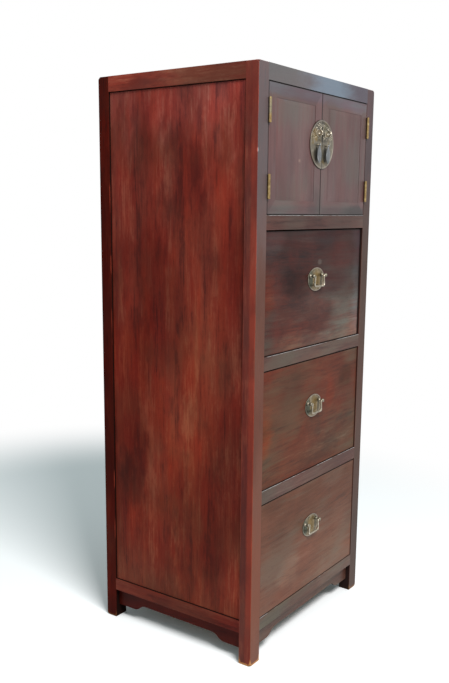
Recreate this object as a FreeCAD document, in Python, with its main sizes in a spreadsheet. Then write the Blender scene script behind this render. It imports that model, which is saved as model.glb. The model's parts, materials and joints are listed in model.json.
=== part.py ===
import FreeCAD, Part
import math
import os
from types import SimpleNamespace

import Sketcher

# A tall cabinet with a two-door cupboard over three file drawers.
# Millimetres. X runs to the right across the front, Y runs to the back, Z runs up.
# The origin lies on the floor, in the middle of the whole object, brass included.

SIZES = {
    # Case
    "case_width": 610.0,
    "case_depth": 508.0,
    "leg_clear": 86.0,
    "bottom_rail_height": 34.0,
    "bay_height": 314.0,
    "middle_rail_height": 36.0,
    "top_rail_height": 40.0,
    "post_width": 43.0,
    "post_depth": 36.0,
    "front_rail_thickness": 28.0,
    "side_rail_thickness": 24.0,
    "rear_rail_thickness": 24.0,
    # Edges
    "post_arris": 2.0,
    "rail_arris": 0.8,
    "foot_bevel": 1.6,
    "corner_block": 30.0,
    "corner_wear": 8.0,
    # Joints of the case
    "joint_play": 0.1,
    "rail_shoulder": 6.0,
    "tenon_gap": 2.0,
    "haunch_gap": 1.5,
    # Panels
    "panel_recess": 4.5,
    "panel_field_thickness": 12.5,
    "panel_field_gap": 2.0,
    "tongue_setback": 9.0,
    "tongue_thickness": 6.0,
    "tongue_reach": 7.0,
    "back_setback": 8.0,
    "back_thickness": 9.0,
    "board_tongue_thickness": 6.0,
    "board_tongue_reach": 5.0,
    "top_thickness": 14.0,
    "top_drop": 1.0,
    "floor_thickness": 12.0,
    "dust_board_thickness": 9.0,
    "dust_board_lift": 8.0,
    # Aprons
    "apron_setback": 14.0,
    "apron_thickness": 14.0,
    "apron_height": 32.0,
    "bracket_drop": 18.0,
    "bracket_length": 57.0,
    "bracket_curve_length": 45.0,
    "apron_stub": 6.0,
    # Runners
    "runner_shelf_width": 18.0,
    "runner_shelf_thickness": 15.0,
    "runner_guide_height": 26.0,
    "bearer_height": 20.0,
    # Drawers
    "drawer_side_gap": 1.2,
    "drawer_top_gap": 2.6,
    "drawer_bottom_gap": 0.8,
    "drawer_front_thickness": 22.0,
    "drawer_recess_1": 5.5,
    "drawer_recess_2": 3.0,
    "drawer_recess_3": 1.5,
    "drawer_rear_gap": 36.0,
    "drawer_side_height": 250.0,
    "drawer_side_thickness": 12.0,
    "drawer_side_play": 2.0,
    "drawer_run_gap": 0.3,
    "drawer_bottom_thickness": 6.0,
    "drawer_bottom_lift": 12.0,
    "drawer_bottom_tongue": 5.0,
    "drawer_arris": 1.0,
    "drawer_housing": 5.0,
    "dovetail_length": 14.0,
    # Drawer handles
    "handle_plate_length": 89.0,
    "handle_plate_height": 64.0,
    "handle_plate_thickness": 1.6,
    "handle_plate_bevel": 0.8,
    "handle_rise": 23.0,
    "bail_spacing": 64.0,
    "bail_pivot_rise": 10.0,
    "bail_pivot_reach": 12.0,
    "bail_arm_spacing": 47.0,
    "bail_drop": 28.0,
    "bail_bend": 8.0,
    "bail_radius": 3.0,
    "bail_pin_radius": 1.6,
    "bail_pin_play": 0.08,
    "bail_pin_overhang": 3.4,
    "bail_head_radius": 5.0,
    "bail_neck_radius": 2.8,
    "bail_base_radius": 6.0,
    "bail_base_thickness": 2.2,
    "bail_shank_radius": 2.2,
    "bail_shank_tail": 6.0,
    "bail_nut_radius": 5.2,
    "bail_nut_thickness": 3.5,
    # Cupboard doors
    "door_gap": 2.0,
    "door_thickness": 20.0,
    "door_frame_width": 34.0,
    "door_arris": 1.0,
    "door_panel_bevel": 9.0,
    "door_panel_dip": 0.6,
    "door_panel_thickness": 12.0,
    "door_tongue_thickness": 6.0,
    "door_tongue_setback": 5.0,
    "door_tongue_reach": 7.0,
    # Butt hinges
    "hinge_length": 58.0,
    "hinge_inset": 68.0,
    "hinge_knuckle_radius": 4.0,
    "hinge_pin_radius": 1.5,
    "hinge_pin_play": 0.05,
    "hinge_clearance": 0.3,
    "hinge_leaf_thickness": 0.9,
    "hinge_leaf_width": 19.0,
    "hinge_head_radius": 2.6,
    "hinge_head_height": 1.2,
    # Round plate, lock eyes and leaf drops
    "plate_radius": 63.0,
    "plate_seam": 0.8,
    "plate_thickness": 2.4,
    "plate_bevel": 1.4,
    "plate_rise": 26.0,
    "eye_spacing": 47.0,
    "eye_rise": 28.0,
    "eye_reach": 17.0,
    "eye_height": 15.0,
    "eye_thickness": 4.5,
    "eye_hole_radius": 3.0,
    "eye_tail_radius": 2.0,
    "eye_tail_length": 12.0,
    "staple_drop": 2.0,
    "staple_half_width": 4.0,
    "staple_standoff": 5.6,
    "staple_radius": 1.1,
    "staple_bend": 2.0,
    "staple_tail": 9.0,
    "drop_play": 0.3,
    "drop_eye_radius": 3.2,
    "drop_eye_width": 4.4,
    "drop_length": 47.0,
    "drop_half_width": 11.0,
    "drop_neck_half_width": 2.2,
    "drop_thickness": 2.2,
    "drop_wide_depth": 29.0,
    "drop_shoulder_radius": 34.0,
    "drop_tip_radius": 24.0,
    "drop_arris": 0.7,
    # How far every cutting tool runs past what it cuts
    "overrun": 5.0,
}
# Shares of the pieces that carry them, and counts
TENON_SHARE = 0.36
SIDE_TENON_LENGTH_SHARE = 0.6
TAIL_WIDE_SHARE = 0.68
TAIL_NARROW_SHARE = 0.44
TAILS = 5
KNUCKLES = 5
NUT_SIDES = 6
FULL_TURN = 360.0
SMALLEST = 1e-6

os.makedirs("parts", exist_ok=True)
doc = FreeCAD.newDocument("cabinet")
sheet = doc.addObject("Spreadsheet::Sheet", "Sizes")
for row, (name, value) in enumerate(SIZES.items(), start=1):
    sheet.set(f"A{row}", str(value))
    sheet.setAlias(f"A{row}", name)
doc.recompute()


# A length that keeps its sheet formula beside its value
class Length:
    def __init__(self, value, formula):
        self.value = value
        self.formula = formula

    def join(self, other, sign, value):
        return Length(value, f"({self.formula} {sign} {as_length(other).formula})")

    def __add__(self, other):
        return self.join(other, "+", self.value + as_length(other).value)

    def __sub__(self, other):
        return self.join(other, "-", self.value - as_length(other).value)

    def __mul__(self, share):
        return self.join(share, "*", self.value * as_length(share).value)

    def __truediv__(self, share):
        return self.join(share, "/", self.value / as_length(share).value)

    def __neg__(self):
        return Length(-self.value, f"(0 - {self.formula})")


def as_length(thing):
    return thing if isinstance(thing, Length) else Length(float(thing), repr(float(thing)))


def root(square):
    return Length(math.sqrt(square.value), f"sqrt({square.formula})")


size = SimpleNamespace(**{name: Length(value, "Sizes." + name) for name, value in SIZES.items()})
zero = as_length(0)


# Names and small tools
def bind(thing, target, length):
    thing.setExpression(target, as_length(length).formula)


def fresh(kind, name):
    return doc.addObject(kind, name)


def place(thing, x=None, y=None, z=None):
    for axis, length in (("x", x), ("y", y), ("z", z)):
        if length is not None:
            bind(thing, ".Placement.Base." + axis, length)
    return thing


def turn(thing, axis, degrees):
    thing.Placement.Rotation = FreeCAD.Rotation(FreeCAD.Vector(*axis), degrees)
    return thing


def about(middle, width):
    return (middle - width / 2, middle + width / 2)


def block(x, y, z):
    return SimpleNamespace(x=x, y=y, z=z)


def grown(shape, x=zero, y=zero, z=zero):
    return block(
        (shape.x[0] - x, shape.x[1] + x),
        (shape.y[0] - y, shape.y[1] + y),
        (shape.z[0] - z, shape.z[1] + z),
    )


def box(name, shape):
    solid = fresh("Part::Box", name)
    for side, (low, high) in (("Length", shape.x), ("Width", shape.y), ("Height", shape.z)):
        bind(solid, side, high - low)
    return place(solid, shape.x[0], shape.y[0], shape.z[0])


def rod(name, axis, radius, start, length, x=zero, y=zero, z=zero):
    solid = fresh("Part::Cylinder", name)
    bind(solid, "Radius", radius)
    bind(solid, "Height", length)
    if axis == "x":
        return place(turn(solid, (0, 1, 0), 90), start, y, z)
    if axis == "y":
        return place(turn(solid, (1, 0, 0), -90), x, start, z)
    return place(solid, x, y, start)


def ball(name, radius, x, y, z):
    solid = fresh("Part::Sphere", name)
    bind(solid, "Radius", radius)
    return place(solid, x, y, z)


def join(name, pieces):
    solid = fresh("Part::MultiFuse", name)
    solid.Shapes = pieces
    solid.Refine = True
    return solid


def group(name, pieces):
    solid = fresh("Part::Compound", name)
    solid.Links = pieces
    return solid


def cut(name, base, tools):
    solid = fresh("Part::Cut", name)
    solid.Base = base
    solid.Tool = tools[0] if len(tools) == 1 else join(name + "_tools", tools)
    return solid


# Sketches on a body's own planes
def sketch_on(body, name, plane, offset=None):
    sketch = body.newObject("Sketcher::SketchObject", name)
    support = [thing for thing in body.Origin.OriginFeatures if thing.Role == plane][0]
    sketch.AttachmentSupport = (support, "")
    sketch.MapMode = "FlatFace"
    if offset is not None:
        bind(sketch, ".AttachmentOffset.Base.z", offset)
    return sketch


def point_of(corner):
    return FreeCAD.Vector(corner[0].value, corner[1].value, 0)


def arc_between(start, end, radius, side):
    chord = end - start
    middle = (start + end) / 2
    rise = math.sqrt(max(radius ** 2 - (chord.Length / 2) ** 2, 0))
    square = FreeCAD.Vector(-chord.y, chord.x, 0).normalize()
    centre = middle + square * (rise * side)
    angles = [math.atan2(p.y - centre.y, p.x - centre.x) for p in (start, end)]
    if side < 0:
        angles.reverse()
    circle = Part.Circle(centre, FreeCAD.Vector(0, 0, 1), radius)
    return Part.ArcOfCircle(circle, angles[0], angles[1])


# An outline is a list of corners (across, up, arc). An arc is None for a straight side, or
# (radius, side) with side 1 where its centre lies left of the way to the next corner.
def draw(sketch, corners, closed=True):
    count = len(corners) if closed else len(corners) - 1
    ends = []
    for index in range(count):
        start = point_of(corners[index])
        end = point_of(corners[(index + 1) % len(corners)])
        arc = corners[index][2]
        if arc is None:
            sketch.addGeometry(Part.LineSegment(start, end), False)
            ends.append((1, 2))
        else:
            sketch.addGeometry(arc_between(start, end, arc[0].value, arc[1]), False)
            ends.append((1, 2) if arc[1] > 0 else (2, 1))
    for index in range(count if closed else count - 1):
        following = (index + 1) % count
        link = ("Coincident", index, ends[index][1], following, ends[following][0])
        sketch.addConstraint(Sketcher.Constraint(*link))
    for index, corner in enumerate(corners):
        edge, end = (index, ends[index][0]) if index < count else (index - 1, ends[index - 1][1])
        for kind, length in (("DistanceX", corner[0]), ("DistanceY", corner[1])):
            fixed = Sketcher.Constraint(kind, -1, 1, edge, end, length.value)
            bind(sketch, f"Constraints[{sketch.addConstraint(fixed)}]", length)
        if index < count and corner[2] is not None:
            curve = Sketcher.Constraint("Radius", index, corner[2][0].value)
            bind(sketch, f"Constraints[{sketch.addConstraint(curve)}]", corner[2][0])
    return sketch


def circle_in(sketch, radius, across, up):
    middle = FreeCAD.Vector(across.value, up.value, 0)
    ring = sketch.addGeometry(Part.Circle(middle, FreeCAD.Vector(0, 0, 1), radius.value), False)
    fixed = Sketcher.Constraint("Radius", ring, radius.value)
    bind(sketch, f"Constraints[{sketch.addConstraint(fixed)}]", radius)
    for kind, length in (("DistanceX", across), ("DistanceY", up)):
        fixed = Sketcher.Constraint(kind, -1, 1, ring, 3, length.value)
        bind(sketch, f"Constraints[{sketch.addConstraint(fixed)}]", length)
    return sketch


# A flat piece cut to an outline: across X ("XZ_Plane"), across Y ("YZ_Plane") or "XY_Plane"
def sawn(name, plane, corners, low, high, hole=None):
    body = fresh("PartDesign::Body", name)
    start = -high if plane == "XZ_Plane" else low
    sketch = draw(sketch_on(body, name + "_outline", plane, start), corners)
    if hole is not None:
        circle_in(sketch, *hole)
    pad = body.newObject("PartDesign::Pad", name + "_pad")
    pad.Profile = sketch
    bind(pad, "Length", high - low)
    return body


def rectangle(across, up):
    return [
        (across[0], up[0], None),
        (across[1], up[0], None),
        (across[1], up[1], None),
        (across[0], up[1], None),
    ]


def near(one, other):
    return abs(one - other.value) < SMALLEST


def level(bounds, axis, length):
    low, high = getattr(bounds, axis + "Min"), getattr(bounds, axis + "Max")
    return near(low, length) and near(high, length)


def eased(body, kind, radius, name, test):
    doc.recompute()
    edges = enumerate(body.Tip.Shape.Edges, start=1)
    chosen = [f"Edge{index}" for index, edge in edges if test(edge.BoundBox)]
    base = body.Tip
    feature = body.newObject("PartDesign::" + kind, name)
    feature.Base = (base, chosen)
    bind(feature, "Radius" if kind == "Fillet" else "Size", radius)
    body.Tip = feature
    return body


# A bent wire: an open path, and the round section at its first corner
def wire(name, path_plane, corners, section_plane, offset, radius):
    body = fresh("PartDesign::Body", name)
    path = draw(sketch_on(body, name + "_path", path_plane), corners, closed=False)
    section = sketch_on(body, name + "_section", section_plane, offset)
    circle_in(section, radius, corners[0][0], zero)
    doc.recompute()
    pipe = body.newObject("PartDesign::AdditivePipe", name + "_pipe")
    pipe.Profile = section
    pipe.Spine = (path, [f"Edge{index + 1}" for index in range(len(corners) - 1)])
    return body


# A bracket-shaped bend: down one side, across and up the other
def loop_path(half_width, start, depth, bend):
    return [
        (-half_width, start, None),
        (-half_width, bend - depth, (bend, 1)),
        (bend - half_width, -depth, None),
        (half_width - bend, -depth, (bend, 1)),
        (half_width, bend - depth, None),
        (half_width, start, None),
    ]


NODES = {}


def node(name, thing):
    thing.Label = name
    NODES[name] = thing
    return thing


# Levels and faces of the case
LEFT, RIGHT = -1, 1
SIDES = {"left": LEFT, "right": RIGHT}
BAYS = 4
CUPBOARD = BAYS - 1
half_case = size.case_width / 2
half_bay = half_case - size.post_width
front_face = (size.eye_reach - size.case_depth) / 2
back_face = front_face + size.case_depth
bay_pitch = size.bay_height + size.middle_rail_height


def bay_floor(index):
    return size.leg_clear + size.bottom_rail_height + bay_pitch * index


def bay_top(index):
    return bay_floor(index) + size.bay_height


case_height = bay_top(CUPBOARD) + size.top_rail_height


def from_side(side, low, high):
    if side == LEFT:
        return (low - half_case, high - half_case)
    return (half_case - high, half_case - low)


def side_face(side, depth):
    return from_side(side, depth, depth)[0]


def from_front(low, high):
    return (front_face + low, front_face + high)


def from_back(low, high):
    return (back_face - high, back_face - low)


ENDS = {"front": from_front, "rear": from_back}
between_posts_x = (-half_bay, half_bay)
between_posts_y = (front_face + size.post_depth, back_face - size.post_depth)
whole_height = (zero, case_height)
bottom_rail_z = (size.leg_clear, bay_floor(0))
top_rail_z = (bay_top(CUPBOARD), case_height)
panel_z = (bay_floor(0), bay_top(CUPBOARD))


def post_block(side, end):
    x = from_side(side, zero, size.post_width)
    return block(x, ENDS[end](zero, size.post_depth), whole_height)


POST_BLOCKS = [post_block(side, end) for side in SIDES.values() for end in ENDS]

# Tenons of the rails. A tenon beside a panel groove stops short of it.
side_tenon_x = about(size.side_rail_thickness / 2, size.side_rail_thickness * TENON_SHARE)
cross_tenon_start = side_tenon_x[1] + size.tenon_gap
haunch = size.tongue_reach + size.joint_play + size.haunch_gap
play = size.joint_play


def inset(z, low, high):
    return (z[0] + low, z[1] - high)


# Where a piece runs into the two posts beside it: across the front, and along one side
def into_posts_x(start, end):
    return [from_side(side, start, end) for side in SIDES.values()]


def into_posts_y(start, end):
    return [span_at(start, end) for span_at in ENDS.values()]


def cross_tenons(middle, thickness, z):
    y = about(middle, thickness * TENON_SHARE)
    return [block(x, y, z) for x in into_posts_x(cross_tenon_start, size.post_width)]


def side_tenons(side, z):
    x = from_side(side, *side_tenon_x)
    tip = size.post_depth - size.post_depth * SIDE_TENON_LENGTH_SHARE
    return [block(x, y, z) for y in into_posts_y(tip, size.post_depth)]


# Grooves of the panels and boards
def panel_tongue(side):
    x = from_side(side, size.tongue_setback, size.tongue_setback + size.tongue_thickness)
    return grown(block(x, between_posts_y, panel_z), y=size.tongue_reach, z=size.tongue_reach)


back_y = from_back(size.back_setback, size.back_setback + size.back_thickness)
back_block = grown(block(between_posts_x, back_y, panel_z), x=size.tongue_reach, z=size.tongue_reach)
inner_x = (size.side_rail_thickness - half_case, half_case - size.side_rail_thickness)
inner_y = (front_face + size.front_rail_thickness, back_face - size.rear_rail_thickness)
top_underside = case_height - size.top_drop - size.top_thickness
top_field = block(inner_x, inner_y, (top_underside, case_height - size.top_drop))
top_tongue = grown(
    block(inner_x, inner_y, (top_underside, top_underside + size.board_tongue_thickness)),
    x=size.board_tongue_reach,
    y=size.board_tongue_reach,
)
dust_board_low = size.leg_clear + size.dust_board_lift
dust_board = grown(
    block(inner_x, inner_y, (dust_board_low, dust_board_low + size.dust_board_thickness)),
    x=size.board_tongue_reach,
    y=size.board_tongue_reach,
)
floor_z = (bay_floor(CUPBOARD) - size.floor_thickness, bay_floor(CUPBOARD))
floor_tongue = block(
    between_posts_x,
    (inner_y[0] - size.board_tongue_reach, inner_y[0]),
    (floor_z[0], floor_z[0] + size.board_tongue_thickness),
)


def loosened(shape, x=play, y=play, z=play):
    return grown(shape, x=x, y=y, z=z)


# A rail: its bar, the tenons at its ends, and the grooves of the boards that it holds
def rail(name, bar, tenons, boards):
    pieces = [bar] + [box(f"{name}_tenon_{i}", tenon) for i, tenon in enumerate(tenons)]
    whole = join(name + "_whole", pieces)
    if boards:
        tools = [box(f"{name}_groove_{i}", loosened(board)) for i, board in enumerate(boards)]
        whole = cut(name + "_grooved", whole, tools)
    return node(name, whole)


# Front rails: flush with the posts, tenoned into them at both ends
RAIL_LEVELS = {
    "front_bottom_rail": bottom_rail_z,
    "front_rail_lower": (bay_top(0), bay_floor(1)),
    "front_rail_middle": (bay_top(1), bay_floor(2)),
    "front_rail_upper": (bay_top(2), bay_floor(3)),
    "front_top_rail": top_rail_z,
}
RAIL_GROOVES = {
    "front_bottom_rail": [dust_board],
    "front_rail_upper": [floor_tongue],
    "front_top_rail": [top_tongue],
}
front_tenons = []
for name, z in RAIL_LEVELS.items():
    tenons = cross_tenons(
        front_face + size.front_rail_thickness / 2,
        size.front_rail_thickness,
        inset(z, size.rail_shoulder, size.rail_shoulder),
    )
    front_tenons += tenons
    y = from_front(zero, size.front_rail_thickness)
    bar = sawn(name + "_bar", "XZ_Plane", rectangle(between_posts_x, z), *y)
    eased(bar, "Fillet", size.rail_arris, name + "_arris", lambda edge: (
        level(edge, "Y", front_face) and edge.XLength > edge.ZLength))
    rail(name, bar, tenons, RAIL_GROOVES.get(name, []))

# Rear rails
rear_tenons = []
for name, z, shoulders, boards in (
    ("rear_bottom_rail", bottom_rail_z, (size.rail_shoulder, haunch), [dust_board]),
    ("rear_top_rail", top_rail_z, (haunch, size.rail_shoulder), [top_tongue]),
):
    middle = back_face - size.rear_rail_thickness / 2
    tenons = cross_tenons(middle, size.rear_rail_thickness, inset(z, *shoulders))
    rear_tenons += tenons
    bar = box(name + "_bar", block(between_posts_x, from_back(zero, size.rear_rail_thickness), z))
    rail(name, bar, tenons, [back_block] + boards)

# Side rails
side_rail_tenons = {LEFT: [], RIGHT: []}
for side_name, side in SIDES.items():
    for name, z, shoulders, boards in (
        ("side_bottom_rail_" + side_name, bottom_rail_z, (size.rail_shoulder, haunch), [dust_board]),
        ("side_top_rail_" + side_name, top_rail_z, (haunch, size.rail_shoulder), [top_tongue]),
    ):
        tenons = side_tenons(side, inset(z, *shoulders))
        side_rail_tenons[side] += tenons
        outer = side_face(side, zero)
        x = from_side(side, zero, size.side_rail_thickness)
        bar = sawn(name + "_bar", "YZ_Plane", rectangle(between_posts_y, z), *x)
        eased(bar, "Fillet", size.rail_arris, name + "_arris", lambda edge: (
            level(edge, "X", outer) and edge.YLength > edge.ZLength))
        rail(name, bar, tenons, [panel_tongue(side)] + boards)

# Aprons: bracket ends with an ogee, under the bottom rails and set back from the faces
apron_z = (size.leg_clear - size.apron_height - size.bracket_drop, size.leg_clear)
curve_run = size.bracket_curve_length
curve_radius = (curve_run * curve_run + size.bracket_drop * size.bracket_drop) / (size.bracket_drop * 4)


def apron_outline(across):
    low = apron_z[0]
    middle = low + size.bracket_drop / 2
    high = low + size.bracket_drop
    flat = size.bracket_length
    return [
        (across[0], low, None),
        (across[0] + flat, low, (curve_radius, 1)),
        (across[0] + flat + curve_run / 2, middle, (curve_radius, -1)),
        (across[0] + flat + curve_run, high, None),
        (across[1] - flat - curve_run, high, (curve_radius, -1)),
        (across[1] - flat - curve_run / 2, middle, (curve_radius, 1)),
        (across[1] - flat, low, None),
        (across[1], low, None),
        (across[1], apron_z[1], None),
        (across[0], apron_z[1], None),
    ]


apron_depth = (size.apron_setback, size.apron_setback + size.apron_thickness)
stub_z = inset(apron_z, size.rail_shoulder, size.rail_shoulder)
apron_stubs = {}
apron_y = from_front(*apron_depth)
stub_spans = into_posts_x(size.post_width - size.apron_stub, size.post_width)
apron_stubs["front"] = [block(x, apron_y, stub_z) for x in stub_spans]
board = sawn("front_apron_board", "XZ_Plane", apron_outline(between_posts_x), *apron_y)
rail("front_apron", board, apron_stubs["front"], [])
for side_name, side in SIDES.items():
    name = "side_apron_" + side_name
    x = from_side(side, *apron_depth)
    stub_spans = into_posts_y(size.post_depth - size.apron_stub, size.post_depth)
    apron_stubs[side] = [block(x, y, stub_z) for y in stub_spans]
    board = sawn(name + "_board", "YZ_Plane", apron_outline(between_posts_y), *x)
    rail(name, board, apron_stubs[side], [])

# Posts: worn at the outer corners, cut for every tenon, stub and panel edge that meets them
corner_gap = size.corner_block - size.corner_wear
corner_sphere = root(size.corner_block * size.corner_block * 2 + corner_gap * corner_gap)


def worn_corner(name, side, end, z, middle):
    cube = block(from_side(side, zero, size.corner_block), ENDS[end](zero, size.corner_block), z)
    x = side_face(side, size.corner_block)
    y = ENDS[end](size.corner_block, size.corner_block)[0]
    return cut(name, box(name + "_cube", cube), [ball(name + "_ball", corner_sphere, x, y, middle)])


for side_name, side in SIDES.items():
    for end, span_at in ENDS.items():
        name = f"post_{end}_{side_name}"
        x = from_side(side, zero, size.post_width)
        y = span_at(zero, size.post_depth)
        outer_x = side_face(side, zero)
        outer_y = span_at(zero, zero)[0]
        blank = sawn(name + "_blank", "XY_Plane", rectangle(x, y), zero, case_height)
        eased(blank, "Chamfer", size.foot_bevel, name + "_foot", lambda edge: level(edge, "Z", zero))
        outer = (("X", outer_x), ("Y", outer_y), ("Z", case_height))
        eased(blank, "Fillet", size.post_arris, name + "_arris", lambda edge: (
            sum(level(edge, axis, face) for axis, face in outer) == 2))
        tenons = front_tenons if end == "front" else rear_tenons
        joints = [tenon for index, tenon in enumerate(tenons) if index % 2 == (side == RIGHT)]
        end_index = 0 if end == "front" else 1
        joints += side_rail_tenons[side][end_index::2]
        joints += [apron_stubs[side][end_index], panel_tongue(side)]
        joints += [apron_stubs["front"][side == RIGHT]] if end == "front" else [back_block]
        tools = [box(f"{name}_mortise_{i}", loosened(joint)) for i, joint in enumerate(joints)]
        top_z = (case_height - size.corner_block, case_height)
        tools.append(worn_corner(name + "_top_wear", side, end, top_z, top_z[0]))
        foot_z = (zero, size.corner_block)
        tools.append(worn_corner(name + "_foot_wear", side, end, foot_z, foot_z[1]))
        node(name, cut(name + "_cut", blank, tools))

# Side panels: a raised field in a shadow gap, and a tongue in the grooves
for side_name, side in SIDES.items():
    name = "side_panel_" + side_name
    x = from_side(side, size.panel_recess, size.panel_recess + size.panel_field_thickness)
    field = grown(block(x, between_posts_y, panel_z), y=-size.panel_field_gap, z=-size.panel_field_gap)
    tongue = box(name + "_tongue", panel_tongue(side))
    node(name, join(name + "_whole", [box(name + "_field", field), tongue]))
node("back_panel", box("back_panel_board", back_block))


# Boards inside the case, notched round the posts
def notched(name, pieces, board_z):
    posts = [loosened(block(post.x, post.y, board_z), z=size.overrun) for post in POST_BLOCKS]
    tools = [box(f"{name}_notch_{i}", post) for i, post in enumerate(posts)]
    return cut(name + "_notched", pieces, tools)


top = join("top_panel_whole", [
    box("top_panel_field", grown(top_field, x=-play, y=-play)), box("top_panel_tongue", top_tongue)])
node("top_panel", notched("top_panel", top, top_field.z))
node("bottom_board", notched("bottom_board", box("bottom_board_blank", dust_board), dust_board.z))
panel_inner = size.panel_recess + size.panel_field_thickness + play
floor_block = block(
    (panel_inner - half_case, half_case - panel_inner),
    (inner_y[0], back_y[0] - play),
    floor_z,
)
floor = join("cupboard_floor_whole", [
    box("cupboard_floor_board", floor_block), box("cupboard_floor_tongue", floor_tongue)])
node("cupboard_floor", notched("cupboard_floor", floor, floor_z))

# Runners of the three drawers and the bearer of the cupboard floor, between the posts
for side_name, side in SIDES.items():
    rows = []
    for index in range(CUPBOARD):
        name = f"runner_{side_name}_{index}"
        shelf_z = (bay_floor(index) - size.runner_shelf_thickness, bay_floor(index))
        guide_z = (shelf_z[0], bay_floor(index) + size.runner_guide_height)
        guide_x = from_side(side, size.side_rail_thickness, size.post_width)
        shelf_x = from_side(side, size.post_width, size.post_width + size.runner_shelf_width)
        guide = box(name + "_guide", block(guide_x, between_posts_y, guide_z))
        shelf = box(name + "_shelf", block(shelf_x, (inner_y[0], between_posts_y[1]), shelf_z))
        rows.append(join(name, [guide, shelf]))
    bearer_x = from_side(side, size.side_rail_thickness, size.post_width)
    bearer_z = (floor_z[0] - size.bearer_height, floor_z[0])
    rows.append(box(f"bearer_{side_name}", block(bearer_x, between_posts_y, bearer_z)))
    node("drawer_runners_" + side_name, group("runners_" + side_name, rows))


# Dovetail: wide at its end, narrow at its root, where it grows out of the drawer's side
def tail(name, x, y, end_z, root_z):
    solid = fresh("Part::Wedge", name)
    spans = {"X": x, "X2": x, "Y": y, "Z": end_z, "Z2": root_z}
    for axis, (low, high) in spans.items():
        bind(solid, axis + "min", low)
        bind(solid, axis + "max", high)
    return solid


def tails(name, x, y, z, slack):
    pitch = (z[1] - z[0]) / TAILS
    row = []
    for index in range(TAILS):
        middle = z[0] + pitch * index + pitch / 2
        end_z = about(middle, pitch * TAIL_WIDE_SHARE + slack * 2)
        root_z = about(middle, pitch * TAIL_NARROW_SHARE + slack * 2)
        wide_x = (x[0] - slack, x[1] + slack)
        row.append(tail(f"{name}_{index}", wide_x, (y[0] - slack, y[1]), end_z, root_z))
    return row


# Drawers, numbered from the top
box_half = half_bay - size.drawer_side_play
side_thick = size.drawer_side_thickness


def drawer(number, recess):
    name = f"drawer_{number}"
    floor_level = bay_floor(CUPBOARD - number)
    face = front_face + recess
    front_back = face + size.drawer_front_thickness
    rear_end = back_y[0] - size.drawer_rear_gap
    side_low = floor_level + size.drawer_run_gap
    side_z = (side_low, side_low + size.drawer_side_height)
    panel_low = side_z[0] + size.drawer_bottom_lift
    panel_half = box_half - side_thick + size.drawer_bottom_tongue
    panel = block(
        (-panel_half, panel_half),
        (front_back - size.drawer_bottom_tongue, rear_end),
        (panel_low, panel_low + size.drawer_bottom_thickness),
    )
    back_half = box_half - side_thick + size.drawer_housing
    back = block(
        (-back_half, back_half),
        (rear_end - side_thick * 2, rear_end - side_thick),
        (panel.z[1], side_z[1]),
    )
    side_x = {LEFT: (-box_half, side_thick - box_half), RIGHT: (box_half - side_thick, box_half)}
    tail_y = (front_back - size.dovetail_length, front_back)

    sides = []
    sockets = []
    for side_name, side in SIDES.items():
        board = box(f"{name}_{side_name}_board", block(side_x[side], (front_back, rear_end), side_z))
        row = tails(f"{name}_{side_name}_tail", side_x[side], tail_y, side_z, zero)
        whole = join(f"{name}_{side_name}_whole", [board] + row)
        grooves = [
            box(f"{name}_{side_name}_groove", loosened(panel, y=size.overrun)),
            box(f"{name}_{side_name}_housing", loosened(back)),
        ]
        sides.append(cut(f"{name}_{side_name}_side", whole, grooves))
        sockets += tails(f"{name}_{side_name}_socket", side_x[side], tail_y, side_z, play)
    rear = box(name + "_back", back)
    node(name + "_box", group(name + "_boards", sides + [rear]))
    node(name + "_bottom", box(name + "_panel", panel))

    handle_z = floor_level + size.bay_height / 2 + size.handle_rise
    pivot_z = handle_z + size.bail_pivot_rise
    pivot_y = face - size.bail_pivot_reach
    post_x = [size.bail_spacing / 2 * side for side in SIDES.values()]
    across = (size.drawer_side_gap - half_bay, half_bay - size.drawer_side_gap)
    up = (floor_level + size.drawer_bottom_gap, floor_level + size.bay_height - size.drawer_top_gap)
    blank = sawn(name + "_blank", "XZ_Plane", rectangle(across, up), face, front_back)
    eased(blank, "Fillet", size.drawer_arris, name + "_arris", lambda edge: level(edge, "Y", face))
    hole_radius = size.bail_shank_radius + play
    holes = []
    for index, x in enumerate(post_x):
        reach = size.drawer_front_thickness + size.handle_plate_thickness + size.overrun * 2
        start = face - size.handle_plate_thickness - size.overrun
        holes.append(rod(f"{name}_hole_{index}", "y", hole_radius, start, reach, x=x, z=pivot_z))
    groove = box(name + "_front_groove", loosened(panel))
    node(name + "_front", cut(name + "_front_cut", blank, sockets + [groove] + holes))

    plate = handle_plate(name + "_plate", face, handle_z)
    node(name + "_handle_plate", cut(name + "_plate_drilled", plate, holes))
    posts = []
    for index, x in enumerate(post_x):
        posts += bail_post(f"{name}_post_{index}", x, face, pivot_y, pivot_z)
    node(name + "_bail_posts", group(name + "_posts", posts))
    node(name + "_bail", bail(name + "_handle", pivot_y, pivot_z))


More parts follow.
